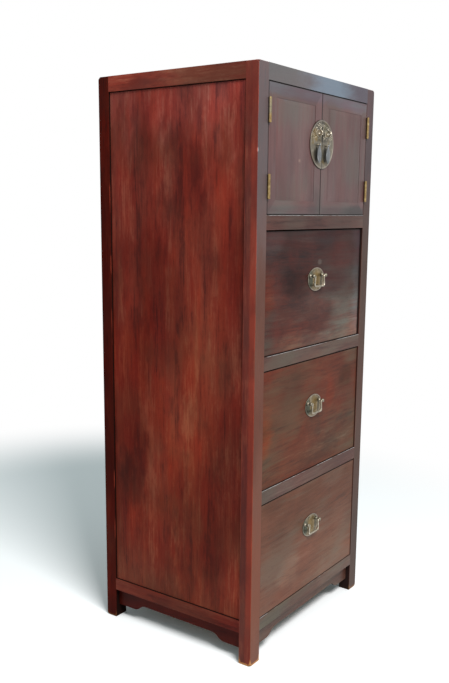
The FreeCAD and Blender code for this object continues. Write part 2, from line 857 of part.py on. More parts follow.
def handle_plate(name, face, middle):
    body = fresh("PartDesign::Body", name)
    sketch = sketch_on(body, name + "_oval", "XZ_Plane", size.handle_plate_thickness - face)
    half_length = size.handle_plate_length / 2
    half_height = size.handle_plate_height / 2
    centre = FreeCAD.Vector(0, middle.value, 0)
    oval = sketch.addGeometry(Part.Ellipse(centre, half_length.value, half_height.value), False)
    sketch.exposeInternalGeometry(oval)
    for line, length, low in ((oval + 1, size.handle_plate_length, -half_length),
                              (oval + 2, size.handle_plate_height, zero)):
        fixed = Sketcher.Constraint("Distance", line, length.value)
        bind(sketch, f"Constraints[{sketch.addConstraint(fixed)}]", length)
    sketch.addConstraint(Sketcher.Constraint("Horizontal", oval + 1))
    for kind, length in (("DistanceX", zero), ("DistanceY", middle)):
        fixed = Sketcher.Constraint(kind, -1, 1, oval, 3, length.value)
        bind(sketch, f"Constraints[{sketch.addConstraint(fixed)}]", length)
    pad = body.newObject("PartDesign::Pad", name + "_pad")
    pad.Profile = sketch
    pad.Reversed = True
    bind(pad, "Length", size.handle_plate_thickness)
    front = face - size.handle_plate_thickness
    eased(body, "Chamfer", size.handle_plate_bevel, name + "_rim", lambda edge: level(edge, "Y", front))
    return body


# A turned post: shank through the drawer front, round foot, neck and ball head
def bail_post(name, x, face, pivot_y, pivot_z):
    body = fresh("PartDesign::Body", name + "_turned")
    plate_y = -size.handle_plate_thickness
    foot_y = plate_y - size.bail_base_thickness
    head = size.bail_head_radius
    neck = size.bail_neck_radius
    head_y = -size.bail_pivot_reach
    tail_y = size.drawer_front_thickness + size.bail_shank_tail
    corners = [
        (zero, tail_y, None),
        (zero, head_y - head, (head, 1)),
        (head, head_y, (head, 1)),
        (neck, head_y + root(head * head - neck * neck), None),
        (neck, foot_y - neck / 2, None),
        (size.bail_base_radius - neck / 2, foot_y, None),
        (size.bail_base_radius, foot_y + size.bail_base_thickness / 2, None),
        (size.bail_base_radius, plate_y, None),
        (size.bail_shank_radius, plate_y, None),
        (size.bail_shank_radius, tail_y, None),
    ]
    sketch = draw(sketch_on(body, name + "_profile", "XY_Plane"), corners)
    spun = body.newObject("PartDesign::Revolution", name + "_spun")
    spun.Profile = sketch
    spun.ReferenceAxis = (sketch, ["V_Axis"])
    spun.Angle = FULL_TURN
    place(body, x, face, pivot_z)
    bore_radius = size.bail_pin_radius + size.bail_pin_play
    bore = rod(name + "_bore", "x", bore_radius, x - head - size.overrun, head * 2 + size.overrun * 2,
               y=pivot_y, z=pivot_z)
    post = cut(name, body, [bore])
    nut = fresh("Part::Prism", name + "_nut_blank")
    nut.Polygon = NUT_SIDES
    bind(nut, "Circumradius", size.bail_nut_radius)
    bind(nut, "Height", size.bail_nut_thickness)
    nut_y = face + size.drawer_front_thickness
    place(turn(nut, (1, 0, 0), -90), x, nut_y, pivot_z)
    thread = rod(name + "_thread", "y", size.bail_shank_radius + play, nut_y - size.overrun,
                 size.bail_nut_thickness + size.overrun * 2, x=x, z=pivot_z)
    return [post, cut(name + "_nut", nut, [thread])]


def bail(name, pivot_y, pivot_z):
    half_arms = size.bail_arm_spacing / 2
    path = loop_path(half_arms, zero, size.bail_drop, size.bail_bend)
    loop = wire(name + "_loop", "XZ_Plane", path, "XY_Plane", None, size.bail_radius)
    place(loop, zero, pivot_y, pivot_z)
    pieces = [loop]
    reach = size.bail_spacing / 2 - half_arms + size.bail_pin_overhang
    for side_name, side in SIDES.items():
        start = half_arms if side == RIGHT else -half_arms - reach
        end = f"{name}_{side_name}"
        pieces.append(ball(end + "_end", size.bail_radius, half_arms * side, pivot_y, pivot_z))
        pieces.append(rod(end + "_pin", "x", size.bail_pin_radius, start, reach, y=pivot_y, z=pivot_z))
    return join(name, pieces)


recesses = (size.drawer_recess_1, size.drawer_recess_2, size.drawer_recess_3)
for number, recess in enumerate(recesses, start=1):
    drawer(number, recess)

# Cupboard doors, with the middle of the round plate above the middle of the opening
door_z = (bay_floor(CUPBOARD) + size.door_gap, bay_top(CUPBOARD) - size.door_gap)
plate_z = (bay_floor(CUPBOARD) + bay_top(CUPBOARD)) / 2 + size.plate_rise
plate_front = front_face - size.plate_thickness
eye_z = plate_z + size.eye_rise
staple_z = plate_z - size.staple_drop
staple_y = plate_front - size.staple_standoff
half_seam = size.plate_seam / 2


def mirrored(side, low, high):
    return (low, high) if side == RIGHT else (-high, -low)


def brass_holes(name, side):
    middle = size.eye_spacing / 2 * side
    start = plate_front - size.overrun
    drill = [("eye", size.eye_tail_radius, size.eye_tail_length, middle, eye_z)]
    for leg in (-1, 1):
        x = middle + size.staple_half_width * leg
        drill.append((f"staple_{leg + 1}", size.staple_radius, size.staple_tail, x, staple_z))
    through = size.plate_thickness + size.overrun + play
    return [
        rod(f"{name}_{label}_hole", "y", radius + play, start, depth + through, x=x, z=z)
        for label, radius, depth, x, z in drill
    ]


def door(side_name, side):
    name = "door_" + side_name
    x = mirrored(side, size.door_gap / 2, half_bay - size.door_gap)
    y = from_front(zero, size.door_thickness)
    inner = grown(block(x, y, door_z), x=-size.door_frame_width, z=-size.door_frame_width)
    outer_corners = rectangle(x, door_z)
    inner_corners = rectangle(inner.x, inner.z)
    setback = size.door_tongue_setback
    tongue = grown(
        block(inner.x, from_front(setback, setback + size.door_tongue_thickness), inner.z),
        x=size.door_tongue_reach,
        z=size.door_tongue_reach,
    )
    holes = brass_holes(name, side)
    frame = []
    meeting_stile = 3 if side == RIGHT else 1
    for index in range(len(outer_corners)):
        following = (index + 1) % len(outer_corners)
        corners = [outer_corners[index], outer_corners[following]]
        corners += [inner_corners[following], inner_corners[index]]
        piece = f"{name}_frame_{index}"
        bar = sawn(piece + "_bar", "XZ_Plane", corners, *y)
        outer_edge = ("X", outer_corners[index][0]) if index % 2 else ("Z", outer_corners[index][1])
        eased(bar, "Fillet", size.door_arris, piece + "_arris", lambda edge: (
            level(edge, "Y", front_face) and level(edge, *outer_edge)))
        drilled = holes if index == meeting_stile else []
        tools = [box(piece + "_groove", loosened(tongue))] + drilled
        frame.append(cut(piece, bar, tools))
    node(name + "_frame", group(name + "_frame_pieces", frame))

    field = grown(inner, x=-play, z=-play)
    bevel = fresh("Part::Wedge", name + "_panel_bevel")
    front_rectangle = grown(field, x=-size.door_panel_bevel, z=-size.door_panel_bevel)
    spans = {
        "X": front_rectangle.x,
        "Z": front_rectangle.z,
        "X2": field.x,
        "Z2": field.z,
        "Y": from_front(zero, size.door_panel_dip),
    }
    for axis, (low, high) in spans.items():
        bind(bevel, axis + "min", low)
        bind(bevel, axis + "max", high)
    core = block(field.x, from_front(size.door_panel_dip, size.door_panel_thickness), field.z)
    pieces = [bevel, box(name + "_panel_core", core), box(name + "_panel_tongue", tongue)]
    node(name + "_panel", cut(name + "_panel_drilled", join(name + "_panel_whole", pieces), holes))

    lock_plate("lock_plate_" + side_name, side, holes)
    lock_eye("lock_eye_" + side_name, side)
    leaf_drop(side_name, side)


# Half of the round plate
def lock_plate(name, side, holes):
    radius = size.plate_radius
    edge = half_seam * side
    corners = [
        (edge, plate_z - radius * side, (radius, 1)),
        (edge + radius * side, plate_z, (radius, 1)),
        (edge, plate_z + radius * side, None),
    ]
    body = sawn(name + "_blank", "XZ_Plane", corners, plate_front, front_face)
    eased(body, "Chamfer", size.plate_bevel, name + "_rim", lambda bounds: (
        level(bounds, "Y", plate_front) and bounds.XLength > size.plate_bevel.value))
    node(name, cut(name + "_drilled", body, holes))


# An eye that stands out of the plate, bored across for a lock, with a tail into the door
def lock_eye(name, side):
    middle = size.eye_spacing / 2 * side
    nose = size.eye_height / 2
    tip_y = front_face - size.eye_reach
    centre_y = tip_y + nose
    corners = [
        (plate_front, eye_z + nose, None),
        (centre_y, eye_z + nose, (nose, 1)),
        (tip_y, eye_z, (nose, 1)),
        (centre_y, eye_z - nose, None),
        (plate_front, eye_z - nose, None),
    ]
    lug = sawn(name + "_lug", "YZ_Plane", corners, *about(middle, size.eye_thickness),
               hole=(size.eye_hole_radius, centre_y, eye_z))
    reach = size.plate_thickness + size.eye_tail_length + size.eye_tail_radius
    tail_rod = rod(name + "_tail", "y", size.eye_tail_radius, plate_front - size.eye_tail_radius, reach,
                   x=middle, z=eye_z)
    node(name, join(name + "_whole", [lug, tail_rod]))


# The staple and the leaf that hangs from its bar
def leaf_drop(side_name, side):
    middle = size.eye_spacing / 2 * side
    name = "pull_staple_" + side_name
    path = loop_path(size.staple_half_width, size.staple_tail, size.plate_thickness + size.staple_standoff,
                     size.staple_bend)
    staple = wire(name + "_wire", "XY_Plane", path, "XZ_Plane", -size.staple_tail, size.staple_radius)
    node(name, place(staple, middle, front_face, staple_z))

    name = "pull_" + side_name
    neck = size.drop_neck_half_width
    wide = size.drop_half_width
    shoulder = (size.drop_shoulder_radius, 1)
    tip = (size.drop_tip_radius, 1)
    corners = [
        (neck, zero, None),
        (-neck, zero, None),
        (-neck, -size.drop_eye_radius, shoulder),
        (-wide, -size.drop_wide_depth, tip),
        (zero, -size.drop_length, tip),
        (wide, -size.drop_wide_depth, shoulder),
        (neck, -size.drop_eye_radius, None),
    ]
    half_thick = size.drop_thickness / 2
    leaf = sawn(name + "_leaf", "XZ_Plane", corners, -half_thick, half_thick)
    eased(leaf, "Fillet", size.drop_arris, name + "_arris", lambda edge: (
        (level(edge, "Y", half_thick) or level(edge, "Y", -half_thick))
        and edge.ZMax < -size.drop_eye_radius.value / 2))
    place(leaf, middle, staple_y, staple_z)
    start = middle - size.drop_eye_width / 2
    ring = rod(name + "_eye", "x", size.drop_eye_radius, start, size.drop_eye_width,
               y=staple_y, z=staple_z)
    bore = rod(name + "_bore", "x", size.staple_radius + size.drop_play, start - size.overrun,
               size.drop_eye_width + size.overrun * 2, y=staple_y, z=staple_z)
    node(name, cut(name + "_bored", join(name + "_solid", [leaf, ring]), [bore]))


for side_name, side in SIDES.items():
    door(side_name, side)

# Butt hinges in the gap beside each door, with the barrel proud of the face
barrel_y = front_face - size.hinge_knuckle_radius - size.hinge_clearance
half_hinge = size.hinge_length / 2
knuckle_pitch = size.hinge_length / KNUCKLES


def hinge_leaf(name, side, middle_z, wall, inward, knuckles):
    axis_x = (half_bay - size.door_gap / 2) * side
    thick = size.hinge_leaf_thickness * inward
    x = (wall, wall + thick) if inward > 0 else (wall + thick, wall)
    low = middle_z - half_hinge
    y = from_front(zero, size.hinge_leaf_width)
    pieces = [box(name + "_leaf", block(x, y, about(middle_z, size.hinge_length)))]
    for index in knuckles:
        z = inset((low + knuckle_pitch * index, low + knuckle_pitch * (index + 1)),
                  size.hinge_clearance / 2, size.hinge_clearance / 2)
        pieces.append(box(f"{name}_web_{index}", block(x, (barrel_y, front_face), z)))
        pieces.append(rod(f"{name}_knuckle_{index}", "z", size.hinge_knuckle_radius, z[0], z[1] - z[0],
                          x=axis_x, y=barrel_y))
    bore = rod(name + "_bore", "z", size.hinge_pin_radius + size.hinge_pin_play, low - size.overrun,
               size.hinge_length + size.overrun * 2, x=axis_x, y=barrel_y)
    return cut(name, join(name + "_solid", pieces), [bore])


case_leaves = []
pins = []
hinge_levels = {
    "lower": bay_floor(CUPBOARD) + size.hinge_inset,
    "upper": bay_top(CUPBOARD) - size.hinge_inset,
}
for side_name, side in SIDES.items():
    door_leaves = []
    for end, middle_z in hinge_levels.items():
        name = f"hinge_{side_name}_{end}"
        outer_knuckles = range(0, KNUCKLES, 2)
        inner_knuckles = range(1, KNUCKLES, 2)
        case_wall = half_bay * side
        case_leaves.append(
            hinge_leaf(name + "_case", side, middle_z, case_wall, -side, outer_knuckles))
        door_wall = (half_bay - size.door_gap) * side
        door_leaves.append(
            hinge_leaf(name + "_door", side, middle_z, door_wall, side, inner_knuckles))
        axis_x = (half_bay - size.door_gap / 2) * side
        low, high = about(middle_z, size.hinge_length)
        shaft = rod(name + "_shaft", "z", size.hinge_pin_radius, low, size.hinge_length,
                    x=axis_x, y=barrel_y)
        head = rod(name + "_head", "z", size.hinge_head_radius, high, size.hinge_head_height,
                   x=axis_x, y=barrel_y)
        pins.append(join(name + "_pin", [shaft, head]))
    node("hinge_leaves_" + side_name, group("door_leaves_" + side_name, door_leaves))
node("hinge_case_leaves", group("case_leaves", case_leaves))
node("hinge_pins", group("pins", pins))

# Every feature and every piece is tested before anything is written
doc.recompute()
failed = [thing.Label for thing in doc.Objects if {"Invalid", "Error"} & set(thing.State)]
for name, thing in NODES.items():
    if thing.Shape.isNull() or not thing.Shape.isValid():
        failed.append(name)
if failed:
    raise SystemExit("Failed: " + ", ".join(failed))
for name, thing in NODES.items():
    thing.Shape.exportStep(f"parts/{name}.step")
print(len(NODES), "pieces")
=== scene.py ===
import bmesh
import bpy
import itertools
import json
from math import acos, asin, atan2, cos, exp, pi, radians, sin, sqrt
from mathutils import Matrix, Vector


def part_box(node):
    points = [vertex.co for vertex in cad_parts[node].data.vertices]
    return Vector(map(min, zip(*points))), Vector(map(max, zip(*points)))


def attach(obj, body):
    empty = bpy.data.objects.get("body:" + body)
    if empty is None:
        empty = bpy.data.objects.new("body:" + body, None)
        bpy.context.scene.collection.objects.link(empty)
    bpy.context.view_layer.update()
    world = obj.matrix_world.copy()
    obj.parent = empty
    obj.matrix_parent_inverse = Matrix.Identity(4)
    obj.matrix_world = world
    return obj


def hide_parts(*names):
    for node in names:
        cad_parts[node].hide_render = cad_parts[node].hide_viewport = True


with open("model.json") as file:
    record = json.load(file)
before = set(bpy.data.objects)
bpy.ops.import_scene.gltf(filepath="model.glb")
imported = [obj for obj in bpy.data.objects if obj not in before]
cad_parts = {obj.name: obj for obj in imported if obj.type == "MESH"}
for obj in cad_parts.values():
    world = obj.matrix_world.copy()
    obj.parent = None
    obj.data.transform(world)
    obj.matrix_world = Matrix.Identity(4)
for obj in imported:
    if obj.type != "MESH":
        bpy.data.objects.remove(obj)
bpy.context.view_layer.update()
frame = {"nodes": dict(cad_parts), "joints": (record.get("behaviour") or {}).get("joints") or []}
nodes = frame["nodes"]

# A tall lacquered cabinet. Metres: X to the right across the front, Y to the back, Z up.
MM = 0.001
SIDES = {"left": -1, "right": 1}
OUTWARDS = {"left": "-x", "right": "+x"}
DRAWERS = (1, 2, 3)

# Places and sizes of the solids
post_low, post_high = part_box("post_front_left")
FRONT = post_low.y
POST_EDGE = -post_high.x
DOOR_EDGE = -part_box("door_left_frame")[0].x
plate_low, plate_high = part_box("lock_plate_left")
PLATE_Z = (plate_low.z + plate_high.z) / 2
PLATE_RADIUS = (plate_high.z - plate_low.z) / 2
PLATE_RISE = plate_high.y - plate_low.y
PLATE_SEAM = -plate_high.x
eye_low, eye_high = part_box("lock_eye_left")
EYE_X = -(eye_low.x + eye_high.x) / 2
EYE_Z = (eye_low.z + eye_high.z) / 2
EYE_RADIUS = (eye_high.z - eye_low.z) / 2
EYE_HALF_WIDTH = (eye_high.x - eye_low.x) / 2


# Node trees
def put(tree, kind, inputs=None, **settings):
    made = tree.nodes.new(kind)
    for name, value in settings.items():
        setattr(made, name, value)
    for name, value in (inputs or {}).items():
        feed(tree, made.inputs[name], value)
    return made


def feed(tree, socket, value):
    """Links a socket, or a node's first output, or sets a plain value."""
    if isinstance(value, bpy.types.Node):
        value = value.outputs[0]
    if isinstance(value, bpy.types.NodeSocket):
        tree.links.new(value, socket)
    else:
        socket.default_value = value


def put_beside(kind, inputs, **settings):
    """A node in the tree that its inputs come from."""
    sources = (bpy.types.Node, bpy.types.NodeSocket)
    trees = [value.id_data for value in inputs.values() if isinstance(value, sources)]
    return put(trees[0], kind, inputs, **settings)


def sum_up(what, *values):
    return put_beside("ShaderNodeMath", dict(enumerate(values)), operation=what).outputs[0]


def times(first, second):
    return sum_up("MULTIPLY", first, second)


def times_plus(first, second, added):
    return sum_up("MULTIPLY_ADD", first, second, added)


def minus(first, second):
    return sum_up("SUBTRACT", first, second)


def least(first, *others):
    for other in others:
        first = sum_up("MINIMUM", first, other)
    return first


def most(first, *others):
    for other in others:
        first = sum_up("MAXIMUM", first, other)
    return first


def vector_sum(what, *values):
    made = put_beside("ShaderNodeVectorMath", dict(enumerate(values)), operation=what)
    return made.outputs["Value" if what == "LENGTH" else "Vector"]


def apart(first, second):
    return vector_sum("SUBTRACT", first, second)


def length(way):
    return vector_sum("LENGTH", way)


def split(place):
    return put_beside("ShaderNodeSeparateXYZ", {0: place}).outputs


def joined(**parts):
    return put_beside("ShaderNodeCombineXYZ", parts).outputs[0]


def ease(value, low, high, start=0.0, end=1.0):
    return put_beside("ShaderNodeMapRange", {
        "Value": value, "From Min": low, "From Max": high, "To Min": start, "To Max": end,
    }, interpolation_type="SMOOTHSTEP").outputs["Result"]


def tint(share, first, second, how="MIX"):
    inputs = {0: share, 6: first, 7: second}
    return put_beside("ShaderNodeMix", inputs, data_type="RGBA", blend_type=how).outputs[2]


def noise(place, stretch, detail=3.0, rough=0.55, shift=(0, 0, 0)):
    at = put_beside("ShaderNodeMapping", {"Vector": place, "Scale": stretch, "Location": shift})
    return put_beside("ShaderNodeTexNoise", {
        "Vector": at, "Scale": 1.0, "Detail": detail, "Roughness": rough,
    }).outputs["Fac"]


def weighted(terms, start=0.5):
    total = start
    for value, weight in terms:
        total = times_plus(minus(value, 0.5), weight, total)
    return total


NUMBER, PLACE, COLOUR = "NodeSocketFloat", "NodeSocketVector", "NodeSocketColor"
GEOMETRY, WHOLE = "NodeSocketGeometry", "NodeSocketInt"


def group_tree(name, kind, inputs, outputs):
    """An empty group and its sockets; inputs and outputs give the names of each type."""
    tree = bpy.data.node_groups.new(name, kind)
    for way, sockets in (("INPUT", inputs), ("OUTPUT", outputs)):
        for socket_type, labels in sockets.items():
            for label in labels.split(", "):
                tree.interface.new_socket(name=label, in_out=way, socket_type=socket_type)
    return tree, tree.nodes.new("NodeGroupInput").outputs, tree.nodes.new("NodeGroupOutput").inputs


def use_group(tree, group, inputs):
    return put(tree, "ShaderNodeGroup", inputs, node_tree=group).outputs


def finish_group(tree, result, outputs):
    for name, value in outputs.items():
        feed(tree, result[name], value)
    return tree


def finish_surface(tree, colour, rough, height, strength, distance, look):
    """A material's last nodes; strength and distance are those of its bumps."""
    bump = put(tree, "ShaderNodeBump", {"Height": height, "Strength": strength, "Distance": distance})
    shader = put(tree, "ShaderNodeBsdfPrincipled", {
        "Base Color": colour, "Roughness": rough, "Normal": bump, **look})
    put(tree, "ShaderNodeOutputMaterial", {"Surface": shader})


def new_material(name):
    """A material, its empty tree and the place on the object."""
    material = bpy.data.materials.new(name)
    material.use_nodes = True
    tree = material.node_tree
    tree.nodes.clear()
    return material, tree, put(tree, "ShaderNodeTexCoord").outputs["Object"]


def add_object(name, data):
    made = bpy.data.objects.new(name, data)
    bpy.context.scene.collection.objects.link(made)
    return made


# Wood finish
def lacquer_figure():
    """Streaks, growth figure and pores under lacquer. Grain is a place whose Z runs along the fibres."""
    tree, given, result = group_tree(
        "lacquered_figure", "ShaderNodeTree",
        {PLACE: "Grain, Place", COLOUR: "Dark, Middle, Light, Amber, Bloom",
         NUMBER: "Streaks, Figure, Mottle, Clouds, Fineness, Patchiness, Unevenness"},
        {COLOUR: "Colour", NUMBER: "Height, Dullness"},
    )
    grain, place = given["Grain"], given["Place"]
    fibre = vector_sum("ADD", grain, joined(X=times(noise(grain, (5, 5, 1.6), 2.0), 0.035)))
    broad = noise(fibre, (19, 19, 1.7), 4.0, 0.55)
    narrow = noise(fibre, (85, 85, 5.5), 4.0, 0.62)
    fine = noise(fibre, (240, 240, 15.0), 4.0, 0.7)
    pores = noise(fibre, (1250, 1250, 52), 2.0, 0.5)
    lines = put(tree, "ShaderNodeMapping", {
        "Vector": fibre, "Scale": (1, 0.35, 0.16), "Rotation": (0, 0.06, 0)})
    rings = put(tree, "ShaderNodeTexWave", {
        "Vector": lines, "Scale": 21.0, "Distortion": 16.0, "Detail": 5.0,
        "Detail Scale": 1.6, "Detail Roughness": 0.68,
    }, wave_type="BANDS", bands_direction="X")
    figure = minus(rings.outputs["Fac"], 0.5)
    threads = weighted([(narrow, 0.8), (fine, 0.85)], 0.0)
    tone = times_plus(threads, given["Fineness"], 0.5)
    tone = times_plus(minus(broad, 0.5), given["Streaks"], tone)
    tone = times_plus(figure, given["Figure"], tone)
    darker = tint(ease(tone, 0.12, 0.5), given["Dark"], given["Middle"])
    body = tint(ease(tone, 0.5, 0.92), darker, given["Light"])
    amber_streak = noise(fibre, (24, 24, 2.1), 4.0, 0.6, (3.1, 7.7, 1.3))
    amber_patch = noise(place, (17, 17, 11), 4.0, 0.65, (6.1, 2.7, 4.9))
    amber = times_plus(minus(amber_patch, amber_streak), given["Patchiness"], amber_streak)
    body = tint(ease(amber, 0.46, 0.75, 0, 0.4), body, given["Amber"])
    blotch = noise(fibre, (9.5, 9.5, 3.4), 5.0, 0.68, (2.2, 5.5, 8.1))
    shade = times(ease(blotch, 0.47, 0.68), given["Mottle"])
    body = tint(shade, body, given["Dark"])
    slanted = put(tree, "ShaderNodeMapping", {"Vector": place, "Rotation": (0, 0.5, 0)})
    bloom = noise(slanted, (4.2, 4.2, 8.0), 2.0, 0.4, (9.2, 4.1, 6.6))
    feathered = times_plus(minus(narrow, 0.5), 0.5, bloom)
    clouded = times(ease(feathered, 0.40, 0.72), given["Clouds"])
    body = tint(clouded, body, given["Bloom"])
    open_pores = ease(pores, 0.6, 0.72)
    body = tint(times(open_pores, 0.55), body, given["Dark"])
    wide = noise(fibre, (6.5, 6.5, 2.6), 3.0, 0.5, (5.4, 1.8, 3.3))
    depth = tint(ease(wide, 0.34, 0.66), (0.70, 0.60, 0.58, 1), (1.22, 1.24, 1.20, 1))
    body = tint(given["Unevenness"], body, depth, "MULTIPLY")
    tinge = noise(fibre, (13, 13, 4.5), 3.0, 0.5, (8.3, 6.4, 0.9))
    hue = tint(ease(tinge, 0.34, 0.66), (1.05, 0.87, 0.82, 1), (0.95, 1.19, 1.20, 1))
    body = tint(given["Unevenness"], body, hue, "MULTIPLY")
    return finish_group(tree, result, {
        "Colour": body, "Height": times_plus(open_pores, -0.8, fine),
        "Dullness": weighted([(fine, 0.25), (blotch, 0.6), (bloom, 0.5)]),
    })


def edge_wear_and_shade():
    """Of the box from Low to High: worn patches on its edges and a rubbed band beside its front
    edges, both partly painted highlights, bare feet, painted shade along its edges where the gaps
    fall dark, and painted shade on the faces that lie in gaps and recesses. Closed low and Closed
    high say which faces lie against other pieces."""
    tree, given, result = group_tree(
        "worn_and_shaded_edges", "ShaderNodeTree",
        {PLACE: "Place, Low, High, Closed low, Closed high", NUMBER: "Width, Patches, Upper only"},
        {NUMBER: "Mask, Foot, Band, Rim, Dirt"},
    )
    place = given["Place"]
    above = apart(place, given["Low"])
    below = apart(given["High"], place)
    x, y, z = split(vector_sum("MINIMUM", above, below))
    second = most(least(x, y), least(most(x, y), z))
    ragged = noise(place, (95, 95, 60), 4.0, 0.65)
    patch = noise(place, (13, 13, 9), 2.0, 0.5, (1.7, 2.9, 5.3))
    reach = times(given["Width"], times(ragged, 2.0))
    close = sum_up("DIVIDE", second, most(reach, 1e-5))
    patchy = ease(minus(patch, given["Patches"]), -0.06, 0.06)
    rubbed = times(ease(close, 0.55, 1.1, 1, 0), patchy)
    under_top = split(below)["Z"]
    lowered = times_plus(ragged, -0.03, split(place)["Z"])
    slope = times_plus(second, 2.2, lowered)
    wavy = times_plus(ragged, -0.008, split(above)["Y"])
    covered = vector_sum("MINIMUM", vector_sum("ADD", above, given["Closed low"]),
                         vector_sum("ADD", below, given["Closed high"]))
    x, y, z = split(covered)
    band = times(ease(wavy, 0.009, 0.017, 1, 0), ease(patch, 0.30, 0.60, 0.35, 1))
    band = times(band, ease(x, 0.0005, 0.002, 1, 0))
    band = times(band, ease(under_top, 0.03, 0.25, 0.15, 1))
    band = times(band, ease(under_top, 0.75, 1.05, 1, 0.75))
    outer = times(minus(1.0, given["Upper only"]), ease(x, 0.002, 0.004, 1, 0))
    upper = times(given["Upper only"], ease(under_top, 0.0015, 0.003, 1, 0))
    return finish_group(tree, result, {
        "Mask": times(rubbed, most(upper, outer)),
        "Foot": ease(slope, -0.002, 0.009, 1, 0),
        "Band": band,
        "Rim": ease(second, 0.0007, 0.0024, 1, 0),
        "Dirt": ease(least(x, y, z), 0.0006, 0.0018),
    })


lacquer_group = lacquer_figure()
wear_and_shade_group = edge_wear_and_shade()
# Turns of a place that bring each axis to Z, so that the fibres run along it
ALONG = {"x": (0, -pi / 2, 0), "y": (pi / 2, 0, 0), "z": (0, 0, 0)}

# Dark, middle, light, amber and bloom of each finish
PALETTES = {
    "flank": ((0.062, 0.009, 0.007), (0.150, 0.019, 0.012), (0.225, 0.052, 0.032),
              (0.250, 0.040, 0.020), (0.105, 0.026, 0.015)),
    "post": ((0.060, 0.009, 0.008), (0.130, 0.019, 0.012), (0.215, 0.055, 0.034),
             (0.200, 0.034, 0.018), (0.090, 0.026, 0.020)),
    "rear": ((0.026, 0.004, 0.003), (0.074, 0.006, 0.003), (0.110, 0.014, 0.007),
             (0.100, 0.011, 0.005), (0.050, 0.009, 0.006)),
    "apron": ((0.051, 0.022, 0.017), (0.114, 0.048, 0.034), (0.175, 0.093, 0.064),
              (0.150, 0.064, 0.039), (0.117, 0.090, 0.064)),
    "door": ((0.070, 0.030, 0.030), (0.096, 0.042, 0.042), (0.118, 0.060, 0.056),
             (0.122, 0.048, 0.046), (0.084, 0.064, 0.056)),
    "rail": ((0.034, 0.014, 0.012), (0.076, 0.030, 0.024), (0.120, 0.058, 0.046),
             (0.100, 0.040, 0.028), (0.078, 0.056, 0.046)),
    "low_rail": ((0.038, 0.017, 0.014), (0.088, 0.037, 0.029), (0.134, 0.068, 0.054),
                 (0.114, 0.046, 0.034), (0.104, 0.072, 0.054)),
    "dusky": ((0.016, 0.009, 0.010), (0.058, 0.015, 0.012), (0.105, 0.036, 0.029),
              (0.110, 0.019, 0.015), (0.056, 0.034, 0.030)),
    "brown": ((0.038, 0.014, 0.011), (0.112, 0.029, 0.017), (0.180, 0.070, 0.046),
              (0.175, 0.036, 0.018), (0.096, 0.056, 0.038)),
    "olive": ((0.055, 0.025, 0.018), (0.140, 0.052, 0.030), (0.210, 0.100, 0.066),
              (0.180, 0.058, 0.032), (0.124, 0.080, 0.056)),
    "bare": ((0.064, 0.024, 0.014), (0.138, 0.056, 0.032), (0.205, 0.095, 0.056),
             (0.175, 0.066, 0.032), (0.108, 0.056, 0.038)),
    "inner": ((0.20, 0.105, 0.050), (0.36, 0.215, 0.110), (0.50, 0.330, 0.180),
              (0.46, 0.270, 0.120), (0.30, 0.190, 0.110)),
}
# Bare wood under the lacquer on feet, rubbed lacquer on edges that is partly a painted highlight, and the
# painted shade of gaps and recesses
BARE_WOOD = (0.60, 0.27, 0.085, 1)
RUBBED_AND_LIT_RED = (0.30, 0.042, 0.022, 1)
RUBBED_AND_LIT_FRONT = (0.40, 0.39, 0.39, 1)
GAP_SHADE = (0.010, 0.005, 0.004, 1)
# A length past any edge, for faces that lie against other pieces
COVERED = 9.0
# A length far past the object, for marks that reach all the way
FAR = 1000.0
# A mark's colour, strength, full share and starting share, where its row leaves out the last of them
MARK_LOOK = [None, 0.9, 0.3, 1.0]


def blots(rows, foot=0.0, across="x"):
    """Marks from rows of (place across, rise above the foot, half width, half height, look of a mark)."""
    marks = []
    for place, rise, half_width, half_height, *look in rows:
        if across == "x":
            marks.append(((place, 0, foot + rise), (half_width, FAR, half_height), *look))
        else:
            marks.append(((0, place, foot + rise), (FAR, half_width, half_height), *look))
    return marks


def marked(place, colour, drift, marks, how="MIX"):
    """A mark is its middle, its half sizes and its look: colour, strength, and the shares of the half
    sizes where it is full and where it starts."""
    for middle, half, *look in marks:
        cast, strength, full, start = look + MARK_LOOK[len(look):]
        away = length(vector_sum("DIVIDE", apart(place, middle), half))
        share = times_plus(drift, abs(full - start), away)
        if start < full:
            covered = ease(share, start, full)
        else:
            covered = ease(share, full, start, 1, 0)
        colour = tint(times(covered, strength), colour, (*cast, 1), how)
    return colour


def mitred_fibres(place, low, high, stile, rail):
    """The stile's fibres up to the diagonals of the box's corners, and the rail's past them."""
    near = vector_sum("MINIMUM", apart(place, low), apart(high, place))
    x, _, z = split(near)
    inputs = {0: sum_up("LESS_THAN", z, x), 4: stile, 5: rail}
    return put_beside("ShaderNodeMix", inputs, data_type="VECTOR").outputs[1]


def front_sheen_and_shade(place, low, colour, drift, face_cast, face_marks):
    """The painted reflection and painted shade of a piece's front face, which change along an axis from one
    cast to another.
    """
    axis, first, last, first_cast, last_cast = face_cast
    run = times_plus(drift, 0.2 * (last - first), split(place)[axis.upper()])
    cast = tint(ease(run, first, last), (*first_cast, 1), (*last_cast, 1))
    cast = marked(place, cast, drift, face_marks)
    on_face = ease(split(apart(place, low))["Y"], 0.0002, 0.0012, 1, 0)
    return tint(times(on_face, 0.72), colour, cast)


